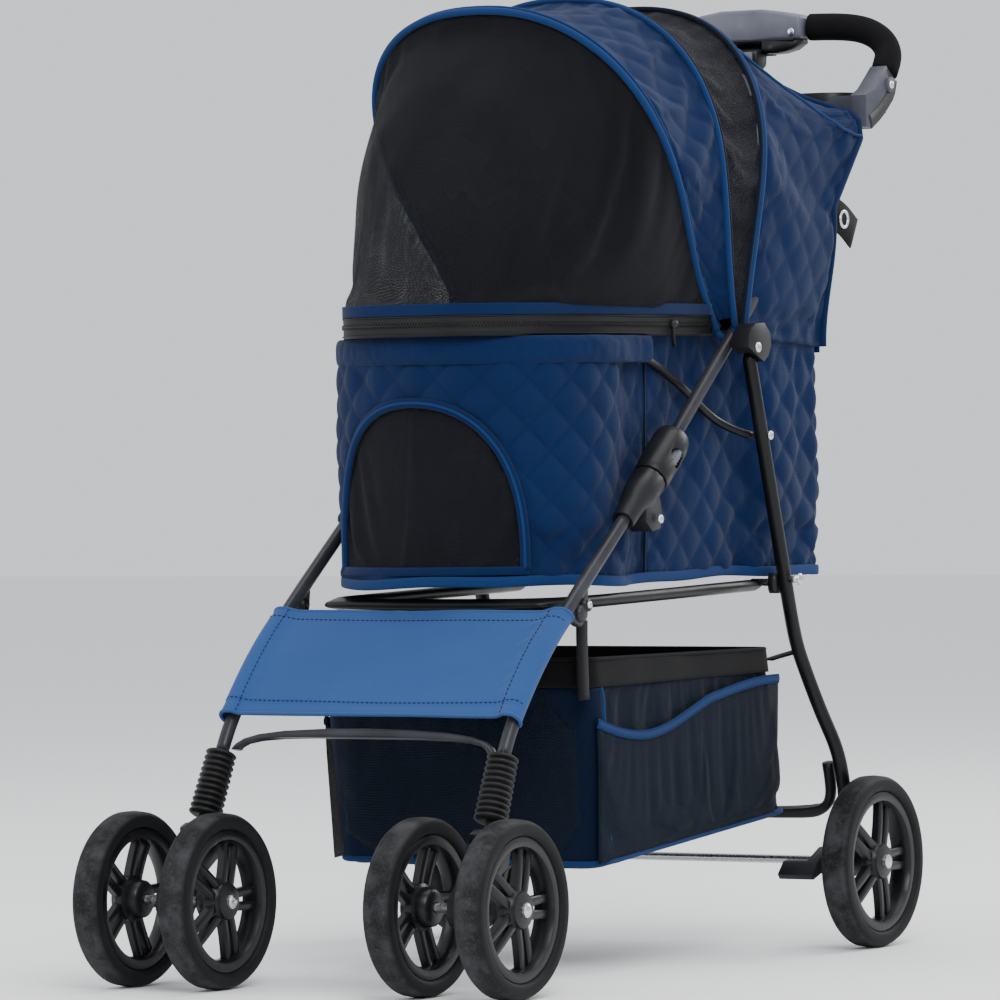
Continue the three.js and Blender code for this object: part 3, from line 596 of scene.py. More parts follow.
# ---- CAD parts, smoothed ------------------------------------------------------------------------
def smooth_copy(node, material, body, kind="tube", width=0.9):
    """A finer skin for a faceted CAD part, in the same place. Tubes are rounded, plates get soft edges."""
    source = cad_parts[node]
    mesh = source.data.copy()
    mesh.materials.clear()
    bm = bmesh.new()
    bm.from_mesh(mesh)
    bmesh.ops.remove_doubles(bm, verts=bm.verts, dist=2e-6)
    bmesh.ops.dissolve_limit(bm, angle_limit=math.radians(1.0), verts=bm.verts, edges=bm.edges)
    bmesh.ops.join_triangles(bm, faces=bm.faces, angle_face_threshold=math.radians(22),
        angle_shape_threshold=math.radians(60))
    sharp = math.radians(52)
    if kind == "tube":
        crease = bm.edges.layers.float.get("crease_edge") or bm.edges.layers.float.new("crease_edge")
        for e in bm.edges:
            if len(e.link_faces) == 2 and e.calc_face_angle(0) > sharp:
                e[crease] = 0.85
    bm.to_mesh(mesh)
    bm.free()
    obj = bpy.data.objects.new(node + "_skin", mesh)
    bpy.context.scene.collection.objects.link(obj)
    if kind == "tube":
        modify(obj, "SUBSURF", levels=2, render_levels=2)
    else:
        modify(obj, "BEVEL", width=width * MM, segments=2, limit_method="ANGLE",
            angle_limit=math.radians(40))
    obj.data.polygons.foreach_set("use_smooth", [True] * len(obj.data.polygons))
    obj.data.set_sharp_from_angle(angle=math.radians(38))
    return finish_piece(obj, material, body, [node])


# Node, material, body, and for plates the kind and the width of the soft edge in millimetres.
SKINS = [
    ("front_leg_{side}", "gunmetal", "front_frame"),
    ("handle_tube_{side}", "gunmetal", "handle_frame"),
    ("handle_arm_{side}", "arm_grey", "handle_frame", "hard", 3.2),
    ("grip_{side}", "foam", "handle_frame"),
    ("rear_leg_{side}", "frame", "rear_frame"),
    ("latch_sleeve_{side}", "black", "latch_sleeve_{side}", "hard", 1.6),
    ("latch_collar_{side}", "black", "front_frame", "hard", 1.4),
    ("hinge_bracket_{side}", "black", "rear_frame", "hard", 1.8),
    ("caster_fork_{side}", "black", "caster_{side}", "hard", 2.2),
    ("caster_axle_{side}", "steel", "caster_{side}", "hard", 0.8),
    ("suspension_rod_{side}", "black", "suspension_{side}", "hard", 0.9),
    ("axle_block_{side}", "black", "rear_frame", "hard", 1.6),
    ("brake_pedal_{side}", "black", "brake_{side}", "hard", 1.6),
    ("front_cross_tube", "gunmetal", "front_frame"),
    ("rear_cross_tube", "frame", "rear_frame"),
    ("seat_frame_tube", "frame", "seat"),
    ("rim_tube", "frame", "cabin_rim"),
    ("rear_axle", "steel", "rear_frame", "hard", 0.8),
    ("console", "grey", "handle_frame", "hard", 4.0),
    ("fold_lever", "black", "fold_lever", "hard", 2.5),
    ("cup_tray", "black", "handle_frame", "hard", 1.8),
    ("floor_board", "board", "seat", "hard", 1.2),
    ("front_hoop", "frame", "canopy_front"),
    ("mid_hoop", "frame", "canopy_mid"),
    ("rear_hoop", "frame", "rear_frame"),
]
for side in ("right", "left", None):
    for node, material, body, *edge in SKINS:
        if ("{side}" in node) == (side is not None):
            smooth_copy(node.format(side=side), material, body.format(side=side), *edge)


# ---- Wheels -------------------------------------------------------------------------------------
TYRE_DEPTH = 17.0
CASTER_X = 160.0


def tyre(name, x, y, radius):
    """Rounded foam tyre with a fine pattern of tread ribs."""
    inner = radius - TYRE_DEPTH
    half = 14.5
    count = 44
    profile = []
    for k in range(count):
        a = 2 * math.pi * k / count
        c, s = math.cos(a), math.sin(a)
        r = inner + TYRE_DEPTH / 2 + (TYRE_DEPTH / 2) * math.copysign(abs(c) ** 0.62, c)
        w = half * math.copysign(abs(s) ** 0.7, s)
        if c > 0.35:
            r -= 0.55 * (0.5 + 0.5 * math.cos(w / half * 3.0 * 2 * math.pi + math.pi))
        profile.append((r, w))
    a = np.linspace(0, 2 * math.pi, 120, endpoint=False)
    grid = np.zeros((count, len(a), 3))
    for k, (r, w) in enumerate(profile):
        wobble = 0.12 * np.sin(60 * a) if r > radius - 3 else 0 * a
        grid[k] = np.stack([np.full_like(a, x + w), y + (r + wobble) * np.cos(a),
            radius + (r + wobble) * np.sin(a)], 1)
    closed = np.concatenate([grid, grid[:1]], 0)
    obj = grid_piece(name, closed, around=True)
    with editing(obj) as bm:
        bmesh.ops.remove_doubles(bm, verts=bm.verts, dist=1e-6)
    turn_outward(obj)
    centre = place([(x, y, radius)])[0]
    reach = [math.hypot(v.co.y - centre[1], v.co.z - centre[2]) / MM for v in obj.data.vertices]
    tread = obj.data.attributes.new("tread", "FLOAT", "POINT")
    tread.data.foreach_set("value", smooth((np.array(reach) - radius + 4.5) / 3.5))
    return obj


def rim(name, x, y, radius, sign):
    """Moulded wheel: lipped ring, five pairs of spokes and a stepped hub."""
    outer = radius - TYRE_DEPTH + 0.6
    centre = np.array([x, y, radius])
    parts = []
    lip = [(outer, -11), (outer, 11), (outer - 3, 12), (outer - 8.5, 11), (outer - 11, 6.5),
        (outer - 11.5, 0),
           (outer - 11, -6.5), (outer - 8.5, -11), (outer - 3, -12), (outer, -11)]
    parts.append(lathe("lip", lip, centre, (sign, 0, 0), 72))
    hub = [(5.2, -16), (14, -16), (17.5, -13), (19, -4), (22, -2), (22, 5), (18, 8), (16.5, 13),
        (10.5, 14.5), (5.2, 14.5), (5.2, -16)]
    parts.append(lathe("hub", hub, centre, (sign, 0, 0), 40))
    section = [(-4.4, -3.4), (-3.0, -4.6), (3.0, -4.6), (4.4, -3.4), (4.4, 3.4), (3.0, 4.6), (-3.0, 4.6),
        (-4.4, 3.4)]
    for k in range(5):
        a = 2 * math.pi * k / 5
        radial = np.array([0, math.cos(a), math.sin(a)])
        beside = np.array([0, -math.sin(a), math.cos(a)])
        for way in (-1, 1):
            path = [centre + radial * mix(15.0, outer - 8.0, t) + beside * way * mix(5.8, 7.6, t)
                    + (sign * (4.0 - 3.5 * t * t), 0, 0) for t in np.linspace(0, 1, 9)]
            parts.append(sweep("spoke", path, section, up=(1, 0, 0), taper=np.linspace(1.0, 0.92, 9)))
    obj = join(name, parts)
    obj.data.set_sharp_from_angle(angle=math.radians(45))
    return obj


def wheel(prefix, x, y, radius, sign, body):
    finish_piece(tyre(prefix + "_tread", x, y, radius), "tyre", body, [prefix + "_tyre"])
    finish_piece(rim(prefix + "_spokes", x, y, radius, sign), "rim", body, [prefix + "_rim"])


def nut(name, x, y, z, sign, body, radius=7.0):
    """Domed hub nut with a washer under it."""
    profile = [(radius + 3, 0), (radius + 3, 1.2), (radius, 1.3), (radius, 4.2), (radius * 0.75, 5.8),
        (radius * 0.35, 6.6), (0.4, 6.8)]
    obj = lathe(name, profile, (x, y, z), (sign, 0, 0), 6 if radius > 6.5 else 24)
    obj.data.set_sharp_from_angle(angle=math.radians(35))
    return finish_piece(obj, "steel", body)


for side, sign in sides():
    for where in ("outer", "inner"):
        prefix = f"front_wheel_{side}_{where}"
        centre = middle(prefix + "_tyre")
        x = centre.x / MM
        face = math.copysign(1, x - sign * CASTER_X)
        wheel(prefix, x, 0.0, centre.z / MM, face, prefix)
    prefix = f"rear_wheel_{side}"
    centre = middle(prefix + "_tyre")
    wheel(prefix, centre.x / MM, (centre.y - FRONT_Y) / MM, centre.z / MM, sign, prefix)


# ---- Cloth --------------------------------------------------------------------------------------
def settle(grid, held, around=False, frames=20, gravity=1.0, swell=0.02, bend=0.3, cap=9.0, pressure=0.0):
    """Lets a grid of cloth hang with its held points fixed and gives back the moved grid.
    swell is how much looser than the grid the cloth is cut, and cap how far a point may go."""
    obj = grid_piece("settling", grid, around)
    group = obj.vertex_groups.new(name="held")
    for index in np.flatnonzero(np.broadcast_to(held, grid.shape[:2]).ravel()):
        group.add([int(index)], 1.0, "REPLACE")
    cloth = obj.modifiers.new("Cloth", "CLOTH")
    rules = cloth.settings
    rules.vertex_group_mass = "held"
    rules.quality = 6
    rules.mass = 0.15
    rules.tension_stiffness = rules.compression_stiffness = 22
    rules.shear_stiffness = 8
    rules.bending_stiffness = bend
    rules.shrink_min = -swell
    rules.effector_weights.gravity = gravity
    if pressure:
        rules.use_pressure = True
        rules.uniform_pressure_force = pressure
    scene = bpy.context.scene
    for frame_number in range(1, frames + 1):
        scene.frame_set(frame_number)
    moved = obj.evaluated_get(bpy.context.evaluated_depsgraph_get()).to_mesh()
    points = np.empty(len(moved.vertices) * 3, np.float32)
    moved.vertices.foreach_get("co", points)
    scene.frame_set(1)
    bpy.data.objects.remove(obj)
    points = points.reshape(grid.shape).astype(float) / MM
    points[..., 1] -= FRONT_Y / MM
    shift = points - grid
    far = np.linalg.norm(shift, axis=2, keepdims=True)
    return grid + shift * np.minimum(1, cap / np.maximum(far, 1e-9))


def refine(grid, rows, columns, around=False):
    """The same surface with more rows and columns."""
    def along(p, count, axis):
        n = p.shape[axis]
        at = np.linspace(0, n - 1, count)
        low = np.minimum(at.astype(int), n - 2)
        t = np.expand_dims(at - low, tuple(k for k in range(3) if k != axis))
        return np.take(p, low, axis) * (1 - t) + np.take(p, low + 1, axis) * t
    if around:
        grid = joined(grid)
        return along(along(grid, rows, 0), columns + 1, 1)[:, :-1]
    return along(along(grid, rows, 0), columns, 1)


QUILT = 46.0


def puff(u, v, depth, pitch=QUILT):
    """Quilting: nothing on the stitch lines and depth in the middle of each diamond."""
    a = np.abs(np.sin(math.pi * (u + v) / pitch))
    b = np.abs(np.sin(math.pi * (u - v) / pitch))
    return depth * (a * b) ** 0.55


def arch(name, u, inset=0.0, low=FABRIC_LOW, aside=0.0, foot=None):
    """Points of an arch of the canopy. u runs from 0 at the right foot to 1 at the left foot."""
    a = ARCHES[name]
    s = 1 - 2 * np.asarray(u, float)
    way, t = np.where(s < 0, -1.0, 1.0), np.abs(s)
    tilt = math.radians(a["tilt"])
    turn = math.pi / 2 * np.clip(t / CROWN, 0, 1)
    x = (a["half"] - inset) * np.sin(turn) ** (2 / ROUNDNESS)
    h = a["shoulder"] + (a["height"] - inset - a["shoulder"]) * np.maximum(np.cos(turn),
        0) ** (2 / ROUNDNESS)
    k = np.clip((t - CROWN) / (1 - CROWN), 0, 1)
    foot = a["foot"] if foot is None else foot
    x = np.where(t <= CROWN, x, mix(a["half"] - inset, foot, smooth(k * 1.25)))
    h = np.where(t <= CROWN, h, mix(a["shoulder"], low, k))
    y = HINGE_Y - h * math.sin(tilt) + aside * math.cos(tilt)
    z = HINGE_Z + h * math.cos(tilt) + aside * math.sin(tilt)
    return np.stack([way * x, y, z], -1)


def even_arch(name, count, **more):
    return resample(arch(name, np.linspace(0, 1, 400), **more), count)


# ---- Cabin --------------------------------------------------------------------------------------
def cabin_half(y):
    waist = mix(CABIN_HALF, CABIN_WAIST, smooth((y - CABIN_NOSE) / 50))
    return mix(waist, CABIN_TAIL, smooth((y - 552) / 60))


def cabin_outline(z, grow, count):
    """Plan outline of the cabin from the middle of the rear, round by the left side."""
    front = CABIN_FRONT - 8 * (1 - (z - FLOOR_Z) / (RIM_Z - FLOOR_Z)) - grow
    a = np.linspace(0, math.pi / 2, 50)
    nose = np.stack([(cabin_half(CABIN_NOSE) + grow) * np.sin(a),
        CABIN_NOSE - (CABIN_NOSE - front) * np.cos(a)], 1)
    y = np.linspace(CABIN_NOSE + 3, CABIN_REAR - 22, 90)
    flank = np.stack([cabin_half(y) + grow, y], 1)
    c = np.linspace(0, math.pi / 2, 14)
    corner = np.stack([130 + (20 + grow) * np.cos(c), CABIN_REAR - 20 + (20 + grow) * np.sin(c)], 1)
    right = np.vstack([nose, flank, corner])
    left = right[1:][::-1] * (-1, 1)
    ring_ = np.vstack([right, left])
    ring_ = np.column_stack([ring_, np.full(len(ring_), z)])
    ring_ = resample(ring_, count, closed=True)
    return np.roll(ring_, count // 2, 0)


CABIN_COLUMNS = 544
CABIN_LENGTH = float(np.linalg.norm(np.diff(cabin_outline(480, 0, 400), axis=0), axis=1).sum()) * 400 / 399
CABIN_PITCH = CABIN_LENGTH / round(CABIN_LENGTH / QUILT)
SHELL_LOW, SHELL_TOP = 371.0, 600.0
WINDOW_LOW, WINDOW_TOP, WINDOW_HALF = 386.0, 544.0, 112.0
SEAM_Y = 384.0


def cabin_grid(levels, columns, grow=0.0):
    rows = []
    for z in levels:
        taper = -2 * max(0.0, 1 - (z - FLOOR_Z) / 60)
        rows.append(cabin_outline(z, taper + grow, columns))
    return np.array(rows)


def cabin_u(columns):
    """How far round each column is from the middle of the front."""
    return (np.arange(columns + 1) / columns - 0.5) * CABIN_LENGTH


def window_reach(z):
    """Half the width of the front window at height z, along the cabin's front."""
    t = np.clip((z - WINDOW_LOW) / (WINDOW_TOP - WINDOW_LOW), 0, 1)
    return WINDOW_HALF * (1 - t**2.5) ** (1 / 2.2)


def hold_edges(shape, rows=1):
    held = np.zeros(shape, bool)
    held[:rows] = held[-rows:] = True
    return held


def blend_cabin(obj):
    spot(0, 690, 480)
    spot(0, 430, 480)
    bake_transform(obj)


def on_cabin(u, z, out=0.0):
    """A point on the cabin's outside, u millimetres from the middle of the front."""
    outline = cabin_outline(z, -2 * max(0.0, 1 - (z - FLOOR_Z) / 60) + out, 600)
    at = (u / CABIN_LENGTH + 0.5) * 600
    return np.array([np.interp(at, np.arange(600), outline[:, k]) for k in range(3)])


def cabin_shell():
    coarse_rows, coarse_columns = 22, 136
    levels = np.linspace(SHELL_LOW, SHELL_TOP, coarse_rows)
    coarse = cabin_grid(levels, coarse_columns, -2.0)
    held = hold_edges(coarse.shape[:2])
    seam = np.abs(coarse[coarse_rows // 2, :, 1] - SEAM_Y) < 7
    held |= seam[None, :]
    coarse = settle(coarse, held, around=True, swell=0.012, bend=0.8, cap=3.5)
    rows = 80
    grid = refine(coarse, rows, CABIN_COLUMNS, around=True)
    u = np.broadcast_to(cabin_u(CABIN_COLUMNS), (rows, CABIN_COLUMNS + 1))
    v = np.broadcast_to((np.linspace(SHELL_LOW, SHELL_TOP, rows) - WINDOW_TOP)[:, None], u.shape)
    around_u, z = u[:, :-1], grid[..., 2]
    y = grid[..., 1]
    waist = smooth((y - 300) / 50) * smooth((520 - y) / 40)
    height = puff(around_u, v[:, :-1], mix(4.4, 3.2, waist), CABIN_PITCH) - mix(1.2, 2.6, waist)
    edge = smooth((z - SHELL_LOW) / 9) * smooth((SHELL_TOP - 6 - z) / 10)
    rim_window = smooth((np.hypot(np.maximum(np.abs(around_u) - window_reach(z), 0),
        np.maximum(z - WINDOW_TOP, 0)) - 6) / 7)
    beside_seam = smooth((np.abs(y - SEAM_Y) - 1.0) / 5)
    height = height * edge * rim_window * beside_seam - 1.6 * (1 - beside_seam)
    height += 1.3 * ripple(grid, 120, 3) * edge
    out = normals(grid, True)
    if out[rows // 2, CABIN_COLUMNS // 2, 1] > 0:
        out = -out
    grid = grid + out * height[..., None]
    rise = smooth((grid[..., 1] - 390) / 14) * smooth((714 - grid[..., 1]) / 60)
    grid[..., 2] += 12 * rise * smooth((grid[..., 2] - 566) / 34)
    flare = np.interp(grid[..., 1], [388, 404, 522, 713], [144, 153, 158.5, 148])
    share = smooth((grid[..., 2] - 586) / 22) * smooth((np.abs(grid[..., 0])
        - 136) / 5) * smooth((grid[..., 1] - 388) / 8)
    grid[..., 0] += np.sign(grid[..., 0]) * (flare - np.abs(grid[..., 0])) * share
    cell_z = (grid[:-1, :, 2] + grid[1:, :, 2]) / 2
    inside = np.abs(around_u[:-1] + CABIN_LENGTH / CABIN_COLUMNS / 2) < window_reach(cell_z) - 1.0
    keep = ~(inside & (cell_z > WINDOW_LOW) & (cell_z < WINDOW_TOP))
    obj = grid_piece("cabin_quilting", grid, around=True, keep=keep, uv=(u * MM, v * MM))
    turn_outward(obj)
    thicken(obj, 1.4)
    finish_piece(obj, "quilt_cabin", replaces=["cabin_tub"])
    return obj


def window_outline(count):
    """Around the window's edge as (u, z), from the low right corner over the top to the low left."""
    z = WINDOW_LOW + (WINDOW_TOP - WINDOW_LOW) * np.sin(np.linspace(0, math.pi / 2, 60))
    right = np.stack([window_reach(z), z], 1)
    line = np.vstack([right, (right * (-1, 1))[::-1][1:]])
    line = resample(np.column_stack([line, np.zeros(len(line))]), count)
    return line[:, :2]


def edge_band(name, outline, width, thick, material, out=1.5, closed=False):
    """A flat folded binding that follows a line on the cabin's outside."""
    path = np.array([on_cabin(u, z, out) for u, z in outline])
    centre = path.mean(0)
    centre[1] += 260
    tangent = np.roll(path, -1, 0) - np.roll(path, 1, 0) if closed else np.gradient(path, axis=0)
    tangent /= np.linalg.norm(tangent, axis=1, keepdims=True)
    outward = path - centre
    outward[:, 2] = 0
    outward -= tangent * np.sum(outward * tangent, 1, keepdims=True)
    outward /= np.linalg.norm(outward, axis=1, keepdims=True)
    across = np.cross(tangent, outward)
    section = np.array([(-0.5, -0.5), (-0.5, 0.1), (-0.42, 0.42), (-0.2, 0.5), (0.2, 0.5), (0.42, 0.42),
        (0.5, 0.1), (0.5, -0.5)])
    section = section * (width, thick)
    rings = path[:, None] + section[None, :, :1] * across[:, None] + section[None, :, 1:] * outward[:, None]
    n, m = rings.shape[:2]
    faces = [(i * m + j, (i + 1) % n * m + j, (i + 1) % n * m + (j + 1) % m, i * m + (j + 1) % m)
             for i in range(n if closed else n - 1) for j in range(m)]
    if not closed:
        faces += [tuple(range(m)), tuple((n - 1) * m + j for j in reversed(range(m)))]
    run = run_along(path) * MM
    loops = []
    for face in faces:
        for index in face:
            i, j = divmod(index, m)
            loops.append((run[i], section[j][0] * MM + section[j][1] * MM))
    obj = new_mesh(name, rings.reshape(-1, 3), faces, loops)
    turn_outward(obj)
    return finish_piece(obj, material)


def cabin_window():
    """Net stretched behind the binding of the front window."""
    rows, columns = 46, 60
    z = np.linspace(WINDOW_LOW - 5, WINDOW_TOP + 4, rows)
    grid = np.zeros((rows, columns, 3))
    for i, level in enumerate(z):
        reach = window_reach(min(max(level, WINDOW_LOW), WINDOW_TOP - 3)) + 3
        grid[i] = [on_cabin(u, level, -3.0) for u in np.linspace(-reach, reach, columns)]
    held = np.zeros((rows, columns), bool)
    held[[0, -1]] = held[:, [0, -1]] = True
    grid = settle(grid, held, swell=0.01, bend=0.2, cap=6.0)
    grid = grid + normals(grid) * (0.9 * ripple(grid, 60, 5)
        * np.sin(np.linspace(0, math.pi, columns)))[..., None]
    obj = grid_piece("window_net", grid)
    thicken(obj, 0.5)
    finish_piece(obj, "net_window")
    return obj


def cabin_inside():
    """Smooth lining of the walls, and the cloth floor under the board."""
    levels = np.linspace(FLOOR_Z + 2, SHELL_TOP - 3, 24)
    grid = refine(cabin_grid(levels, 136, -9.0), 40, 272, around=True)
    grid = grid + normals(grid, True) * (0.8 * ripple(grid, 150, 9))[..., None]
    u = cabin_u(272)
    reach = np.array([window_reach(z) for z in grid[:-1, 0, 2]])[:, None]
    middle_z = grid[:-1, :, 2]
    inside = (np.abs(u[:-1][None]) < reach) & (middle_z > WINDOW_LOW) & (middle_z < WINDOW_TOP)
    lining = grid_piece("cabin_lining", grid, around=True, keep=~inside)
    thicken(lining, 0.8)
    finish_piece(lining, "lining")
    outline = cabin_outline(FLOOR_Z, -3.0, 160)
    centre = outline.mean(0)
    rings = [centre + (outline - centre) * k for k in np.linspace(0.02, 1, 24)]
    floor = np.array(rings)
    floor[..., 2] = FLOOR_Z - 0.5 + 0.8 * ripple(floor, 90, 11)
    under = grid_piece("cabin_floor_cloth", floor, around=True)
    thicken(under, 1.2)
    finish_piece(under, "lining")
    return lining, under


cabin = cabin_shell()
window = cabin_window()
lining, floor_cloth = cabin_inside()
window_binding = edge_band("window_binding", window_outline(140), 9.5, 2.6, "navy", 0.6)
window_piping = edge_band("window_piping", window_outline(140), 3.0, 4.4, "piping", 0.9)
sill = [(u, WINDOW_LOW - 1.5) for u in np.linspace(-WINDOW_HALF - 4, WINDOW_HALF + 4, 60)]
window_sill = edge_band("window_sill", sill, 8.0, 2.6, "navy", 0.6)
hem_u = np.linspace(-CABIN_LENGTH / 2, CABIN_LENGTH / 2, 361)[:-1]
hem_line = [(u, FLOOR_Z + 1.5 + 1.4 * math.sin(u / 57) + 0.8 * math.sin(u / 23 + 1)) for u in hem_u]
cabin_hem = edge_band("cabin_hem", hem_line, 10.0, 3.4, "piping", 0.4, closed=True)
cabin_pieces = [cabin, window, lining, window_binding, window_piping, window_sill, cabin_hem]
for side, sign in sides():
    reach = next(u for u in np.linspace(0, CABIN_LENGTH / 2, 400) if on_cabin(u, 480)[1] > SEAM_Y)
    line = [(sign * reach, z) for z in np.linspace(FLOOR_Z + 6, SHELL_TOP - 20, 40)]
    cabin_pieces.append(edge_band(f"cabin_seam_{side}", line, 2.2, 2.0, "lining", -1.0))
for piece in cabin_pieces:
    blend_cabin(piece)
spot(0, 690, 372)
spot(0, 560, 372)
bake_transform(floor_cloth)


# ---- Padded sleeve round the rim, and the zip above it ------------------------------------------
SLEEVE_LOW, SLEEVE_TOP = 579.0, 607.0
ZIP_TOP = 626.0
BINDING_TOP = 637.0


def rim_sleeve():
    """Stuffed sleeve over the rim tube, swollen by pressure between its sewn edges."""
    outline = cabin_outline(SLEEVE_LOW, 0.0, 700)
    ahead = outline[outline[:, 1] < SEAM_Y + 2]
    order = np.argsort(np.arctan2(ahead[:, 1] - (SEAM_Y + 40), ahead[:, 0]))
    line = resample(ahead[order], 150)
    _, side, _ = carried_frames(line)
    side *= np.sign(np.sum(side * (line - (0, 420, SLEEVE_LOW)), 1))[:, None]
    widen = np.where(line[:, 1] > 312, smooth((line[:, 1] - 312) / 50) * 8.5, 0)
    line = line + side * widen[:, None]
    half = (SLEEVE_TOP - SLEEVE_LOW) / 2
    a = np.linspace(0, 2 * math.pi, 28, endpoint=False)
    section = np.stack([np.sign(np.cos(a)) * np.abs(np.cos(a)) ** 0.7 * 4.4 - 0.8,
                        half + np.sign(np.sin(a)) * np.abs(np.sin(a)) ** 0.75 * (half - 0.8)], 1)
    rings = line[:, None] + section[None, :, :1] * side[:, None] + section[None, :,
        1:] * np.array([0, 0, 1.0])
    held = np.zeros(rings.shape[:2], bool)
    held[[0, -1]] = True
    held[:, [6, 7, 8, 20, 21, 22]] = True
    rings = settle(rings, held, around=True, gravity=0.0, swell=0.008, pressure=2.0, cap=3.0, bend=0.6)
    rings = rings + normals(rings, True) * (0.25 * ripple(rings, 34, 21))[..., None]
    obj = grid_piece("rim_sleeve", rings, around=True)
    with editing(obj) as bm:
        bmesh.ops.holes_fill(bm, edges=[e for e in bm.edges if e.is_boundary])
        bmesh.ops.recalc_face_normals(bm, faces=bm.faces)
    modify(obj, "SUBSURF", levels=1, render_levels=1)
    finish_piece(obj, "navy", "cabin_rim")
    return obj


def zip_line(u, z, out=0.0):
    a = math.pi * np.asarray(u, float)
    x = (143 + out) * np.sign(np.cos(a)) * np.abs(np.cos(a)) ** 0.62
    back = HINGE_Y - 22
    y = back - (back - CABIN_FRONT + 12 + out) * np.sin(a) ** 0.9
    return np.stack([x, y, np.full_like(x, z)], -1)


def even_zip(count, z, out=0.0):
    return resample(zip_line(np.linspace(0, 1, 500), z, out), count)


def fold_front(obj):
    """Gives the piece its own copy of its mesh."""
    spot(0, 300, 920)
    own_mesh(obj)
    return obj


def band_around(name, z0, z1, out, rows, material, wave=0.0, seed=1):
    """A strip of cloth standing on the zip line between two heights."""
    columns = 200
    levels = np.linspace(z0, z1, rows)
    grid = np.array([even_zip(columns, z, out) for z in levels])
    lift = wave * ripple(grid, 90, seed)
    grid = grid + normals(grid) * lift[..., None]
    obj = grid_piece(name, grid)
    thicken(obj, 1.6, 0.0)
    finish_piece(obj, material, "canopy_front")
    return fold_front(obj)


def zip_teeth():
    """A coil zip: two rows of small teeth meeting along one line."""
    line = even_zip(520, (SLEEVE_TOP + ZIP_TOP) / 2 + 0.5, 1.6)
    tangent, side, rise = carried_frames(line)
    points, faces = [], []
    for i in range(0, len(line) - 1):
        up = 1.5 if i % 2 else -1.5
        centre = line[i] + rise[i] * up * 0.5
        base = len(points)
        for a, b, c in ((-1, -1, -1), (1, -1, -1), (1, 1, -1), (-1, 1, -1), (-1, -1, 1), (1, -1, 1),
            (1, 1, 1), (-1, 1, 1)):
            points.append(centre + tangent[i] * a * 0.55 + side[i] * b * 0.9 + rise[i] * c * 1.3)
        faces += [tuple(base + k for k in f) for f in ((0, 3, 2, 1), (4, 5, 6, 7), (0, 1, 5, 4),
            (1, 2, 6, 5), (2, 3, 7, 6), (3, 0, 4, 7))]
    obj = new_mesh("zip_teeth", np.array(points), faces, sharp=True)
    turn_outward(obj)
    return fold_front(finish_piece(obj, "black", "canopy_front"))


def zip_slider(name, u):
    """Slider on the zip with a hanging pull."""
    centre = zip_line(np.array([u]), (SLEEVE_TOP + ZIP_TOP) / 2 + 0.5, 3.5)[0]
    ahead = zip_line(np.array([u + 0.004]), centre[2], 3.5)[0] - centre
    ahead /= np.linalg.norm(ahead)
    body = sweep("slider", [centre - ahead * 5, centre - ahead * 3, centre + ahead * 3, centre + ahead * 5],
                 ring(3.4, 12, 1.3), taper=[0.7, 1, 1, 0.6])
    pull = sweep("pull", [centre + (0, -2, 0), centre + (0, -3, -6), centre + (0, -2, -16),
        centre + (0, -1, -22)],
                 strap_section(4.4, 1.4), up=ahead)
    obj = join(name, [body, pull])
    return fold_front(finish_piece(obj, "black", "canopy_front"))


rim_sleeve()
zip_tape = band_around("zip_tape", SLEEVE_TOP - 1, ZIP_TOP + 2, 0.0, 7, "zip", 0.5, 31)
zip_binding = band_around("zip_binding", ZIP_TOP, BINDING_TOP, 1.6, 7, "navy", 0.6, 33)
zip_teeth()
for z, seed in ((SLEEVE_TOP + 1.2, 1), (ZIP_TOP - 1, 2)):
    fold_front(cord(f"zip_edge_{seed}", even_zip(200, z, 1.4), 0.8, "zip", "canopy_front", 6))
for side, u in (("right", 0.06), ("left", 0.94)):
    zip_slider(f"zip_slider_{side}", u)


# ---- Canopy -------------------------------------------------------------------------------------
def front_net():
    rows, columns = 48, 121
    u = np.linspace(0, 1, columns)
    top = even_arch("front", columns, aside=-0.8)
    low = even_zip(columns, BINDING_TOP - 6)
    t = np.linspace(0, 1, rows)[:, None, None]
    grid = mix(top[None], low[None], t)
    bulge = 34 * np.sin(math.pi * t[..., 0]) * np.sin(math.pi * u) ** 1.5
    grid = grid + bulge[..., None] * np.array([0, -0.8, 0.45])
    held = hold_edges((rows, columns))
    held[:, [0, -1]] = True
    grid = settle(grid, held, swell=0.012, bend=0.15, cap=10.0)
    fade = np.sin(math.pi * t[..., 0]) ** 0.5
    grid = grid + normals(grid) * (1.6 * ripple(grid * (1.6, 1, 0.5), 70, 41) * fade)[..., None]
    obj = grid_piece("front_net", grid)
    modify(obj, "SUBSURF", levels=1, render_levels=1)
    thicken(obj, 0.5)
    finish_piece(obj, "net", "canopy_front", ["front_mesh"])
    return fold_front(obj)


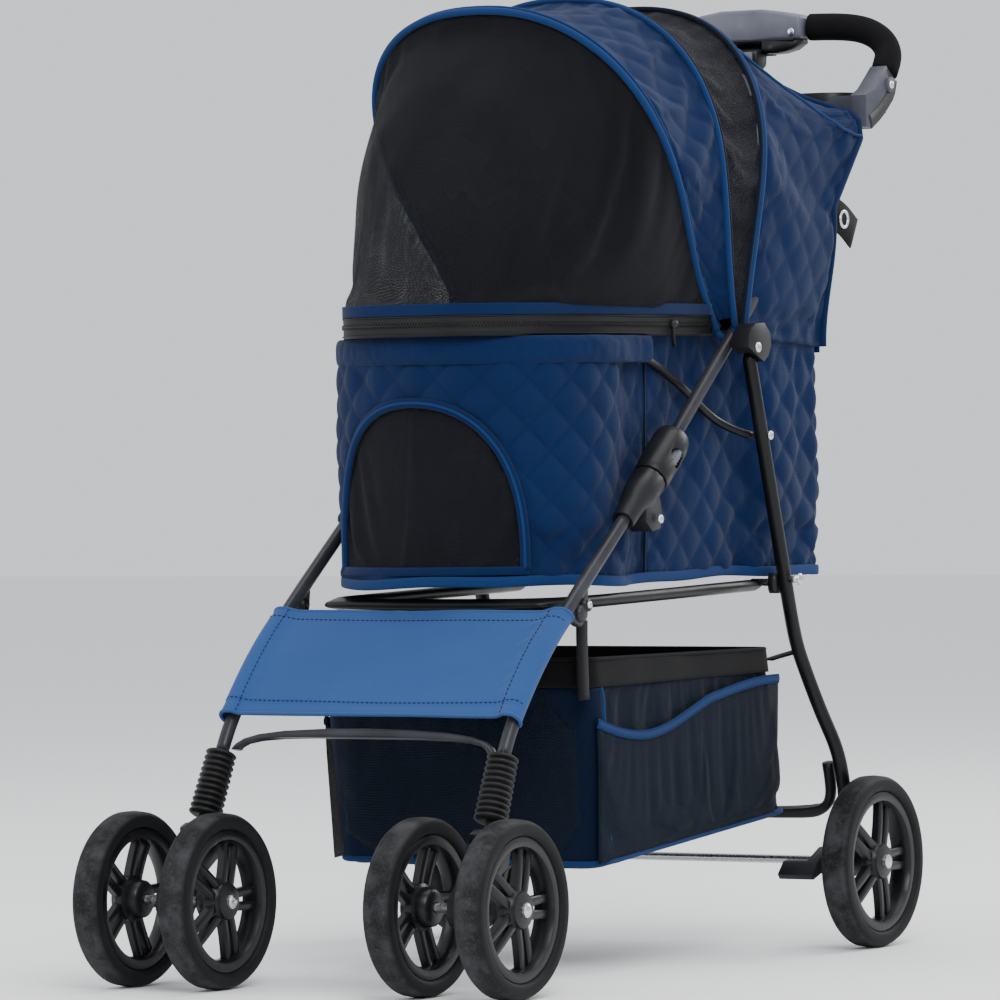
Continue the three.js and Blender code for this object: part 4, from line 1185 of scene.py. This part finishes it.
def quilted_span(name, rows_points, material, depth=4.2, seed=0, swell=0.012, cap=5.0):
    """Quilted cloth over a grid from rows_points(rows, columns)."""
    coarse = rows_points(16, 100)
    held = hold_edges(coarse.shape[:2])
    held[:, [0, -1]] = True
    settled = settle(coarse, held, swell=swell, cap=cap, bend=0.6)
    fine_rows = max(12, int(lengths(coarse, 0)[-1].max() / 2.9))
    fine_columns = int(lengths(coarse, 1)[:, -1].max() / 2.9)
    grid = refine(settled, fine_rows, fine_columns)
    flat = refine(coarse, fine_rows, fine_columns)
    u = lengths(flat, 1)
    u = u - u[:, -1:] / 2
    v = lengths(flat, 0)
    n = normals(grid)
    outward = grid - np.array([0, 560, 640])
    n *= np.sign(np.sum(n * outward, 2).mean())
    share = np.linspace(0, 1, fine_rows)[:, None]
    span = v[-1][None]
    to_edge = np.minimum(share, 1 - share) * span
    fade = smooth(to_edge / 9)
    height = (puff(u, v, depth) - 1.0) * fade + 1.8 * ripple(grid, 90, seed) * fade
    grid = grid + n * height[..., None]
    obj = grid_piece(name, grid, uv=(u * MM, v * MM))
    thicken(obj, 1.3, 0.0)
    finish_piece(obj, material)
    return obj, flat


def span_between(a, b):
    def rows_points(rows, columns):
        first, last = even_arch(a, columns, aside=0.8), even_arch(b, columns, aside=-0.8)
        t = np.linspace(0, 1, rows)[:, None, None]
        grid = mix(first[None], last[None], t)
        lift = 5.0 * np.sin(math.pi * t[..., 0])
        centre = np.array([0, HINGE_Y, HINGE_Z])
        distance = np.linalg.norm(grid - centre, axis=2)
        direction = (grid - centre) / distance[..., None]
        far = smooth(distance / 200)
        return grid - direction * (lift * far)[..., None] * 0.6
    return rows_points


def canopy_band():
    obj, flat = quilted_span("canopy_quilted_band", span_between("front", "mid"), "quilt", 2.2, 51,
        0.016, 5.0)
    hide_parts("canopy_band")
    start = arch("mid", 0.5)
    end = arch("front", 0.5)
    Vector(place([start])[0])
    Vector(place([end])[0])
    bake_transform(obj)


def middle_net():
    rows, columns = 30, 140
    flat = span_between("mid", "rear")(rows, columns)
    held = hold_edges((rows, columns))
    held[:, [0, -1]] = True
    grid = settle(flat, held, swell=0.03, bend=0.1, cap=9.0)
    fade = np.sin(np.linspace(0, math.pi, rows))[:, None] ** 0.6
    grid = grid + normals(grid) * (2.4 * ripple(grid * (0.7, 0.5, 1.3), 60, 61) * fade)[..., None]
    obj = grid_piece("middle_net", grid)
    modify(obj, "SUBSURF", levels=1, render_levels=1)
    thicken(obj, 0.5)
    finish_piece(obj, "net_mid", replaces=["mid_mesh"])
    Vector(place([arch("rear", 0.5)])[0])
    Vector(place([arch("mid", 0.5)])[0])
    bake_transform(obj)


HOOD_Y = 768.0
HOOD_EDGE = np.array([[0, 897], [53, 872], [102, 849], [140, 836], [157, 831], [165, 823], [167.2, 806]])


def back_y(z):
    z = np.asarray(z, float)
    low = mix(CABIN_REAR - 2, 708, (z - RIM_Z) / (735 - RIM_Z))
    return np.where(z >= 806, HOOD_Y, np.where(z >= 735, mix(708, HOOD_Y, (z - 735) / 71), low))


def rear_edge(u):
    """Rear edge of the hood, from its low right end over the top to its low left end."""
    s = 1 - 2 * np.asarray(u, float)
    way, t = np.where(s < 0, -1.0, 1.0), np.abs(s)
    at = np.clip(t / CROWN, 0, 1) * (len(HOOD_EDGE) - 1)
    x = np.interp(at, np.arange(len(HOOD_EDGE)), HOOD_EDGE[:, 0])
    z = np.interp(at, np.arange(len(HOOD_EDGE)), HOOD_EDGE[:, 1])
    k = np.clip((t - CROWN) / (1 - CROWN), 0, 1)
    low_z = mix(806, RIM_Z + 2, k)
    z = np.where(t <= CROWN, z, low_z)
    x = np.where(t <= CROWN, x, mix(167.4, 151, smooth((k - 0.4) / 0.6)))
    return np.stack([way * x, back_y(z), z], -1)


def hood_rows(rows, columns):
    u = np.linspace(0, 1, columns)
    t = np.linspace(0, 1, rows)[:, None, None]
    return mix(arch("rear", u, aside=0.8, low=2.0, foot=163.0)[None], rear_edge(u)[None], t)


def blend_hood(obj):
    spot(0, 655, 793)
    spot(0, 766, 830)
    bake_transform(obj)


def hood():
    obj, flat = quilted_span("hood_quilting", hood_rows, "quilt", 2.3, 71, 0.018, 6.0)
    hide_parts("rear_hood")
    blend_hood(obj)
    u = np.linspace(0, 1, 300)
    hem = sweep("hood_hem", rear_edge(u), ring(4.2, 12))
    blend_hood(finish_piece(hem, "navy"))
    for side, sign in sides():
        shares = np.linspace(0, 1, 24)
        places = 0.5 - sign * (0.5 - np.interp(shares, [0, 0.5, 1], [0.335, 0.265, 0.16]))
        surface = hood_rows(24, 400)
        line = np.array([surface[i, int(round(u * 399))] for i, u in enumerate(places)]) + (sign * 2.4,
            0, 2.8)
        seam = sweep(f"hood_seam_{side}", spline(line, 60), ring(1.5, 10))
        blend_hood(finish_piece(seam, "piping"))


def rear_wall():
    def rows_points(rows, columns):
        z = np.linspace(RIM_Z - 4, 804, rows)
        x = np.linspace(1, -1, columns)
        half = np.interp(z, [590, 640, 690, 735, 774, 783, 804], [149.5, 153, 162, 164.5, 163, 147.5, 147])
        grid = np.zeros((rows, columns, 3))
        grid[..., 0] = half[:, None] * x
        grid[..., 1] = back_y(z)[:, None] - 4 - 5 * (1 - x**2) * np.sin(np.linspace(0, math.pi, rows))[:,
            None]
        grid[..., 2] = z[:, None]
        return grid
    obj, flat = quilted_span("rear_wall_quilting", rows_points, "quilt", 3.6, 81)
    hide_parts("rear_wall")
    blend_hood(obj)


def hoop_piping(name, arch_name, body, aside, radius=3.0, material="piping", inset=-1.6):
    line = even_arch(arch_name, 260, inset=inset, aside=aside, low=10.0)
    obj = sweep(name, line, ring(radius, 12))
    return finish_piece(obj, material, body)


front_net()
canopy_band()
middle_net()
hood()
rear_wall()
hoop_piping("front_hoop_piping", "front", "canopy_front", -3.0, 3.6)
hoop_piping("front_hoop_seam", "front", "canopy_front", 4.0, 1.6)
hoop_piping("mid_hoop_piping", "mid", "canopy_mid", -2.0, 3.2)
hoop_piping("mid_hoop_edge", "mid", "canopy_mid", 3.6, 2.2, "lining")
hoop_piping("rear_hoop_edge", "rear", "rear_frame", -4.0, 2.4, "lining")
hoop_piping("rear_hoop_piping", "rear", "rear_frame", 1.6, 3.4)
for side, sign in sides():
    ahead = arch("front", 0.5 - sign * 0.5, inset=-1.6, aside=-3.0, low=10.0)
    behind = arch("mid", 0.5 - sign * 0.5, inset=-1.6, aside=-2.0, low=10.0)
    bottom = (ahead + behind) / 2 + (sign * 4, 0, -9)
    tail = spline([ahead, ahead * 0.6 + bottom * 0.4 + (0, 0, -3), bottom,
        behind * 0.6 + bottom * 0.4 + (0, 0, -3), behind], 30)
    cord(f"hoop_piping_tail_{side}", tail, 3.2, "piping", "canopy_mid", 10)


def loop_tag():
    """Webbing tag with an eyelet, sewn to the right rear corner of the hood."""
    corner = np.array([160.0, 704.0, 736.0])
    path = spline([corner, corner + (0.5, 16, -5), corner + (1, 38, -13), corner + (0, 62, -26)], 16)
    strap = sweep("tag", path, strap_section(34, 2.2), up=(1, 0, 0))
    finish_piece(strap, "webbing")
    ring_path = [corner + np.array([2.4, 37 + 8 * math.cos(a),
        -12 + 8 * math.sin(a)]) for a in np.linspace(0, 2 * math.pi, 32, endpoint=False)]
    eye = sweep("tag_eyelet", ring_path, ring(1.9, 10), closed=True)
    finish_piece(eye, "steel")
    strap.name = "hood_tag"
    blend_hood(strap)
    blend_hood(eye)


loop_tag()


# ---- Basket -------------------------------------------------------------------------------------
BASKET_TOP = 300.0
BAND = 27.0


def basket_outline(k, grow, count):
    """Plan outline of the basket from the middle of the rear; k is 0 at the bottom and 1 at the top."""
    front = np.interp(k, [0, 0.545, 1], [262, 250, 238]) - grow
    rear = np.interp(k, [0, 0.545, 1], [632, 618, 598]) + grow
    half = np.interp(k, [0, 0.545, 1], [146, 150, 150]) + grow
    r = 20.0
    points = []
    for cx, cy, start in ((half - r, rear - r, 90), (-half + r, rear - r, 180),
        (-half + r, front + r, 270), (half - r, front + r, 0)):
        for step in range(9):
            a = math.radians(start - 90 + step * 11.25)
            points.append((cx + r * math.cos(a), cy + r * math.sin(a)))
    points = np.array(points)
    z = mix(102 + 0.085 * (points[:, 1] - 262), BASKET_TOP - 0.0085 * (points[:, 1] - 238), k)
    ring_ = resample(np.column_stack([points, z]), count, closed=True)
    first = np.argmin(np.hypot(ring_[:, 0], ring_[:, 1] - rear))
    return np.roll(ring_, -first, 0)


def basket_grid(k_values, grow, columns):
    return np.array([basket_outline(k, grow, columns) for k in k_values])


def fold_basket(obj):
    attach(obj, "rear_frame")
    spot(0, 640, 200)
    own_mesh(obj)


def basket():
    rows, columns = 26, 220
    k = np.linspace(0.03, (BASKET_TOP - BAND + 3 - 102) / (BASKET_TOP - 102), rows)
    flat = basket_grid(k, -0.5, columns)
    held = hold_edges((rows, columns))
    grid = settle(flat, held, around=True, swell=0.03, bend=0.2, cap=9.0)
    fade = np.sin(np.linspace(0, math.pi, rows))[:, None]
    grid = grid - normals(grid, True) * (1.6 * ripple(grid, 90, 91) * fade)[..., None]
    obj = grid_piece("basket_net", grid, around=True)
    modify(obj, "SUBSURF", levels=1, render_levels=1)
    thicken(obj, 0.8)
    finish_piece(obj, "net_basket", replaces=["storage_basket"])
    fold_basket(obj)
    outline = basket_outline(0.0, -1.0, 160)
    centre = outline.mean(0)
    rings = np.array([centre + (outline - centre) * s for s in np.linspace(0.02, 1, 26)])
    settled = settle(rings, hold_edges(rings.shape[:2]), around=True, swell=0.015, cap=4.0, bend=0.5)
    bottom = grid_piece("basket_bottom", settled, around=True)
    thicken(bottom, 1.2)
    fold_basket(finish_piece(bottom, "lining"))
    k = np.linspace((BASKET_TOP - BAND - 102) / (BASKET_TOP - 102), 1.0, 8)
    strip = basket_grid(k, 1.0, 240)
    strip = strip - normals(strip, True) * (0.7 * ripple(strip, 110, 93))[..., None]
    band = grid_piece("basket_band", strip, around=True)
    thicken(band, 2.2, 0.0)
    fold_basket(finish_piece(band, "webbing"))
    for name, k, grow, radius, material in (("low", 0.015, 1.0, 3.0, "piping"),
        ("top", 1.0, 1.0, 1.8, "webbing")):
        line = basket_outline(k, grow, 300)
        piping = sweep(f"basket_{name}_piping", line, ring(radius, 10), closed=True)
        fold_basket(finish_piece(piping, material))


def basket_front():
    """Navy cloth over the front of the basket, with piping down each corner."""
    rows, columns = 24, 70
    grid = np.zeros((rows, columns, 3))
    for i, k in enumerate(np.linspace(0.02, 0.86, rows)):
        outline = basket_outline(k, 0.9, 800)
        ahead = outline[outline[:, 1] < np.interp(k, [0, 1], [284, 262])]
        ahead = ahead[np.argsort(ahead[:, 0])]
        grid[i] = resample(ahead, columns)
    fade = np.sin(np.linspace(0, math.pi, rows))[:, None] * np.sin(np.linspace(0, math.pi, columns))[None]
    grid[..., 1] -= 1.4 * np.abs(ripple(grid, 80, 95)) * fade
    panel = grid_piece("basket_front_panel", grid)
    thicken(panel, 1.2, 0.0)
    fold_basket(finish_piece(panel, "basket_cloth"))
    for side, column in (("right", -1), ("left", 0)):
        fold_basket(cord(f"basket_corner_{side}", grid[:, column], 2.4, "piping"))


def pocket_edge(y):
    """Height of the top of a side pocket: it dips behind the front corner and rises to the rear."""
    t = np.clip((np.asarray(y, float) - 250) / 345, 0, 1)
    return 240 - 22 * np.sin(math.pi * np.clip(t / 0.62, 0, 1)) * (1 - t) + 27 * smooth((t - 0.25) / 0.75)


def basket_pockets():
    rows, columns = 18, 80
    for side, sign in sides():
        y = np.linspace(252, 606, columns)
        grid = np.zeros((rows, columns, 3))
        for i, share in enumerate(np.linspace(0, 1, rows)):
            top = pocket_edge(y)
            low = 106 + 0.085 * (y - 262)
            z = mix(low, top, share)
            k = (z - 102) / (BASKET_TOP - 102)
            half = np.interp(k, [0, 0.545, 1], [146, 150, 150])
            belly = 2.6 * np.sin(math.pi * np.linspace(0, 1, columns)) ** 0.6 * share**0.7
            shift = np.interp(k, [0, 1], [14, -6]) * (1 - 2 * (y - 252) / 354) * 0.5
            grid[i] = np.stack([sign * (half + 2.4 + belly), y + shift, z], 1)
        held = np.zeros((rows, columns), bool)
        held[0] = held[-1] = held[:, 0] = held[:, -1] = True
        grid = settle(grid, held, swell=0.008, cap=3.0, bend=0.3)
        pocket = grid_piece(f"basket_pocket_{side}", grid)
        thicken(pocket, 0.8, 0.0)
        fold_basket(finish_piece(pocket, "net_basket"))
        line = resample(grid[-1], 90) + (sign * 0.4, 0, 0)
        binding = sweep(f"pocket_binding_{side}", line, strap_section(3.2, 9.0), up=(0, 0, 1))
        fold_basket(finish_piece(binding, "piping"))


def basket_straps():
    for side, sign in sides():
        path = spline([(sign * 149, 233, 338), (sign * 150.5, 230, 318), (sign * 151.5, 229, 290),
            (sign * 151.5, 230, 262)], 14)
        strap = sweep(f"basket_strap_{side}", path, strap_section(20, 1.8), up=(1, 0, 0))
        finish_piece(strap, "webbing", "rear_frame")
        spot(0, 640, 200)
        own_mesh(strap)
        path = spline([(sign * 151.5, 590, 286), (sign * 158, 600, 289), (sign * 168, 604, 292),
            (sign * 176, 604, 294)], 12)
        rod(f"basket_rear_strap_{side}", path, strap_section(18, 1.8), "webbing", "rear_frame",
            up=(0, 0, 1))


basket()
basket_front()
basket_pockets()
basket_straps()


# ---- Footrest -----------------------------------------------------------------------------------
WRAP_RADIUS = 9.4


def footrest_surface(t, x, out=0.0):
    """t runs from the front edge to the rear edge. The cloth wraps round a leg at each side."""
    y = mix(93, 190, t)
    u = np.clip(x / FRAME_X, -1, 1)
    sag = 4 * (1 - u * u) * np.sin(math.pi * t)
    z = 246 + 1.17 * (y - 93) - 0.0021 * (y - 93) ** 2 + 10 + 2 * np.sin(math.pi * t) - sag
    slope = math.atan(1.17 - 0.0042 * 48)
    normal = np.array([0, -math.sin(slope), math.cos(slope)])
    wrap = np.clip((np.abs(x) - FRAME_X) / WRAP_RADIUS, 0, 2.5)
    reach = np.where(np.abs(x) <= FRAME_X, x, np.sign(x) * (FRAME_X + WRAP_RADIUS * np.sin(wrap)))
    point = np.stack([reach, y - 9, z], -1)
    return point - normal * (WRAP_RADIUS * (1 - np.cos(wrap)) - out)[..., None]


def footrest():
    rows, columns = 40, 150
    x = np.linspace(-179, 179, columns)
    t = np.linspace(0, 1, rows)[:, None]
    grid = footrest_surface(np.broadcast_to(t, (rows, columns)), np.broadcast_to(x, (rows, columns)),
        np.zeros((rows, columns)))
    held = np.broadcast_to(np.abs(x) > 150, (rows, columns))
    grid = settle(grid, held, swell=0.004, bend=1.2, cap=4.0)
    middle_share = np.cos(np.clip(x / 165, -1, 1) * math.pi / 2)
    grid = grid + np.array([0, -0.7, 0.7]) * (0.9 * ripple(grid * (0.5, 1, 1), 60, 101)
        * middle_share)[..., None]
    crease = 1.1 * (np.exp(-((t - 0.07) / 0.02) ** 2) + np.exp(-((t - 0.93) / 0.02) ** 2))
    grid = grid - np.array([0, -0.7, 0.7]) * (crease * (np.abs(x) < 168))[..., None]
    obj = grid_piece("footrest_cloth", grid)
    modify(obj, "SUBSURF", levels=1, render_levels=1)
    thicken(obj, 1.5, 0.0)
    # The footrest cloth gets the navy with painted light, coloured paler as if lit.
    finish_piece(obj, "pale", "front_frame", ["footrest_panel"])
    # The hems get the same navy with painted light.
    for name, row in (("front", 0), ("rear", -1)):
        cord(f"footrest_hem_{name}", grid[row], 1.9, "pale", "front_frame")
    for name, row in (("front", 4), ("rear", -5)):
        stitches(f"footrest_stitches_{name}", grid[row] + (0, -0.9, 0.9), "front_frame", "navy")
    for name, column in (("left", 14), ("right", -15)):
        stitches(f"footrest_side_{name}", grid[:, column] + (0, -0.9, 0.9), "front_frame", "navy")


def stitches(name, path, body, material, length=3.6, gap=1.6, radius=0.42):
    """A row of separate short threads along a path."""
    run = run_along(path)
    parts = []
    for start in np.arange(1.0, run[-1] - length, length + gap):
        at = np.linspace(start, start + length, 4)
        line = np.stack([np.interp(at, run, path[:, k]) for k in range(3)], 1)
        parts.append(sweep("thread", line, ring(radius, 6), taper=[0.4, 1, 1, 0.4]))
    obj = join(name, parts)
    return finish_piece(obj, material, body)


footrest()


# ---- Boots --------------------------------------------------------------------------------------
def boots():
    """Ribbed rubber boots over the front suspension."""
    for side, sign in sides():
        low, high = np.array([sign * 157.6, 47, 156]), np.array([sign * 155.6, 76, 217])
        direction = (high - low) / np.linalg.norm(high - low)
        length, ribs = 66.0, 11
        profile = [(8.5, 0)]
        for i in range(ribs):
            for step in range(8):
                share = (i + step / 8) / ribs
                profile.append((11.2 + 5.0 * math.sin(math.pi * step / 8) ** 0.7 - 1.4 * share,
                    share * length))
        profile += [(10.0, length), (8.5, length)]
        boot = lathe(f"rubber_boot_{side}", profile, low + direction * 2, direction, 40)
        finish_piece(boot, "rubber", "front_frame", [f"boot_{side}"])
        spot(*high)
        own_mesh(boot)


boots()


# ---- Rivets and small fittings ------------------------------------------------------------------
def rivet(name, x, y, z, sign, body, radius=5.0):
    profile = [(radius, 0), (radius, 0.8), (radius * 0.86, 1.9), (radius * 0.5, 2.6), (0.3, 2.8)]
    obj = lathe(name, profile, (x, y, z), (sign, 0, 0), 28)
    obj.data.set_sharp_from_angle(angle=math.radians(50))
    return finish_piece(obj, "steel", body)


def on_face(node, sign):
    low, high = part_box(node)
    return (high.x if sign > 0 else low.x) / MM


def fittings():
    for side, sign in sides():
        bracket = on_face(f"hinge_bracket_{side}", sign)
        rivet(f"hinge_rivet_{side}", bracket - sign * 0.4, 513, 594, sign, "rear_frame", 5.2)
        rivet(f"rim_rivet_{side}", sign * 183.2, 543, 508, sign, "rear_frame", 4.6)
        rod(f"rim_pin_{side}", [(sign * 160, 543, 508), (sign * 172, 543, 508),
            (sign * 183.6, 543, 508)], ring(3.4, 16), "steel", "rear_frame")
        rod(f"seat_pivot_{side}",
            [(sign * 130, 598, 362), (sign * 150, 598, 362), (sign * 169, 598, 362)], ring(4.2, 18),
                "steel", "rear_frame")
        rod(f"seat_plate_{side}",
            [(sign * 160, 591, 362), (sign * 164, 591, 362), (sign * 168, 591, 362)],
                [(-15, -6), (-12, -10), (12, -10), (15, -6), (15, 6), (12, 10), (-12, 10), (-15, 6)],
                    "black", "rear_frame", up=(0, 0, 1))
        rod(f"seat_shank_{side}",
            [(sign * 180, 580, 366), (sign * 186, 580, 366), (sign * 194, 580, 366)], ring(3.6, 18),
                "steel", "rear_frame")
        rivet(f"seat_bolt_{side}", sign * 193.4, 580, 366, sign, "rear_frame", 6.0)
        collar = on_face(f"latch_collar_{side}", sign)
        for index, (y, z, back) in enumerate(((336, 452, 4.5), (345, 430, 1.2))):
            rivet(f"latch_rivet_{side}_{index}", collar - sign * back, y, z, sign, "front_frame", 4.4)
        rod(f"seat_pin_{side}", [(sign * 150, 218, 352), (sign * 160, 218, 352), (sign * 166, 218, 352)],
            ring(6.2, 16), "black", "front_frame")
        rivet(f"seat_pin_head_{side}", sign * 166, 218, 352, sign, "front_frame", 3.6)
        nut_x = on_face(f"rear_wheel_{side}_rim", sign)
        nut(f"rear_nut_{side}", nut_x - sign * 3.5, 645, 85, sign, f"rear_wheel_{side}", 6.4)
        for where in ("outer", "inner"):
            prefix = f"front_wheel_{side}_{where}"
            centre = middle(prefix + "_rim").x / MM
            way = math.copysign(1, centre - sign * CASTER_X)
            nut(f"front_nut_{side}_{where}", centre + way * 13.2, 0, centre_height(prefix), way, prefix,
                6.0)


def centre_height(prefix):
    return middle(prefix + "_tyre").z / MM


def latch_grips():
    """Grey finger block inside each latch sleeve's window."""
    for side, sign in sides():
        direction = np.array([0, 785 - 352, 828 - 467.0])
        direction /= np.linalg.norm(direction)
        start = np.array([sign * FRAME_X, 352, 467.0])
        path = [start + direction * h + (sign * 12.2, 0, 0) for h in (20, 24, 34, 44, 48)]
        rod(f"latch_button_{side}", path, ring(6.4, 16, 0.75), "grey", f"latch_sleeve_{side}",
            taper=[0.5, 0.95, 1.05, 0.95, 0.5])
        for index, h in enumerate((27, 31, 35, 39)):
            rib = [start + direction * h + (sign * 17.0, 0, 0)
                + np.array([0, -direction[2], direction[1]]) * w for w in (-4, 0, 4)]
            finish_piece(sweep(f"latch_rib_{side}_{index}", rib, ring(0.8, 8)), "grey",
                f"latch_sleeve_{side}")


ARM_BACK = [(778.5, 822.5), (800.5, 834), (823, 851.5), (828.6, 860.5), (831, 868)]


def console_details():
    """Black trim and screws of the arms, and the housing and finger tab under the console."""
    for side, sign in sides():
        rod(f"arm_trim_{side}", spline([(sign * 165, y, z) for y, z in ARM_BACK], 24), TRIM_SECTION,
            "black", "handle_frame", up=(1, 0, 0))
        rivet(f"arm_screw_{side}", sign * 176.2, 821, 862, sign, "handle_frame", 4.2)
        rod(f"lever_housing_{side}",
            [(sign * x, 839, z) for x, z in ((25.5, 908), (40, 908.5), (54, 911), (66, 914.5))],
                [(-15, -5), (-13, -8), (13, -8), (15, -5), (15, 5), (-15, 5)], "black", "handle_frame",
                    up=(0, 0, 1), taper=[1, 1, 0.92, 0.6])
        screw = lathe(f"console_screw_{side}", [(4.0, 0), (4.0, 0.8), (3.2, 1.4), (0.3, 1.6)],
            (sign * 60, 823.9, 921), (0, -1, 0), 24)
        finish_piece(screw, "steel", "handle_frame")
    rod("lever_guide", [(x, 849, 906) for x in (-26, -12, 12, 26)],
        [(-5, -7), (5, -7), (6, -5), (6, 6), (-6, 6), (-6, -5)], "black", "handle_frame", up=(0, 0, 1))
    rod("console_lip", [(x, 826, 913.6) for x in (-62, -30, 0, 30, 62)], strap_section(4.0, 2.6),
        "black", "handle_frame", up=(0, 0, 1))
    rod("lever_tab", [(x, 815.2, 894) for x in (-19, -17, 0, 17, 19)],
        [(-1.6, -7), (-1.0, -7.6), (1.0, -7.6), (1.6, -7), (1.6, 7), (1.0, 7.6), (-1.0, 7.6), (-1.6, 7)],
            "grey", "fold_lever", up=(0, 0, 1), taper=[0.86, 1, 1, 1, 0.86])


fittings()
latch_grips()
console_details()


# ---- Floor, light and camera --------------------------------------------------------------------
def studio():
    floor = bpy.data.meshes.new("floor")
    bm = bmesh.new()
    bmesh.ops.create_grid(bm, x_segments=8, y_segments=8, size=14)
    bm.to_mesh(floor)
    bm.free()
    floor = bpy.data.objects.new("floor", floor)
    bpy.context.scene.collection.objects.link(floor)
    n = Nodes("pale_floor")
    where = n.coordinates()
    cloud = n.noise(where.outputs["Object"], 1.2, 3.0)
    n.put(n.shader.inputs["Base Color"], n.tint(cloud, (0.86, 0.87, 0.88), (0.9, 0.9, 0.9)))
    n.put(n.shader.inputs["Roughness"], n.ramp(cloud, 0.3, 0.7, 0.6, 0.75))
    n.bump(n.noise(where.outputs["Object"], 90.0, 2.0), 0.02, 0.0005)
    floor.data.materials.append(n.material)
    world = bpy.data.worlds.new("studio")
    world.use_nodes = True
    world.node_tree.nodes["Background"].inputs["Color"].default_value = (0.95, 0.97, 1.0, 1)
    world.node_tree.nodes["Background"].inputs["Strength"].default_value = 1.0
    bpy.context.scene.world = world
    lamps = (
        ("key", (2.4, -2.6, 2.9), 2.2, 120),
        ("fill", (-3.2, -2.2, 1.6), 2.4, 45),
        ("top", (0.3, 0.4, 3.4), 2.6, 60),
        ("rim", (1.2, 3.2, 2.2), 1.8, 55),
    )
    for name, position, size, power in lamps:
        light = bpy.data.lights.new(name, "AREA")
        light.shape = "DISK"
        light.size = size
        light.energy = power
        lamp = bpy.data.objects.new(name, light)
        lamp.location = position
        lamp.rotation_euler = (Vector((0, 0, 0.45)) - Vector(position)).to_track_quat("-Z", "Y").to_euler()
        bpy.context.scene.collection.objects.link(lamp)


def camera():
    azimuth, elevation, roll = math.radians(31.4), math.radians(0.5), math.radians(-0.9)
    target = Vector((0, -0.09135, 0.4641))
    back = Vector((math.sin(azimuth) * math.cos(elevation), -math.cos(azimuth) * math.cos(elevation),
        math.sin(elevation)))
    data = bpy.data.cameras.new("camera")
    data.lens = 231.3
    data.sensor_width = 36
    data.shift_x, data.shift_y = 0.0131, -0.0146
    data.clip_end = 60
    cam = bpy.data.objects.new("camera", data)
    cam.location = target + back * 6.1885
    turn = (-back).to_track_quat("-Z", "Y")
    cam.rotation_mode = "QUATERNION"
    cam.rotation_quaternion = Quaternion(back, roll) @ turn
    bpy.context.scene.collection.objects.link(cam)
    bpy.context.scene.camera = cam


studio()
camera()
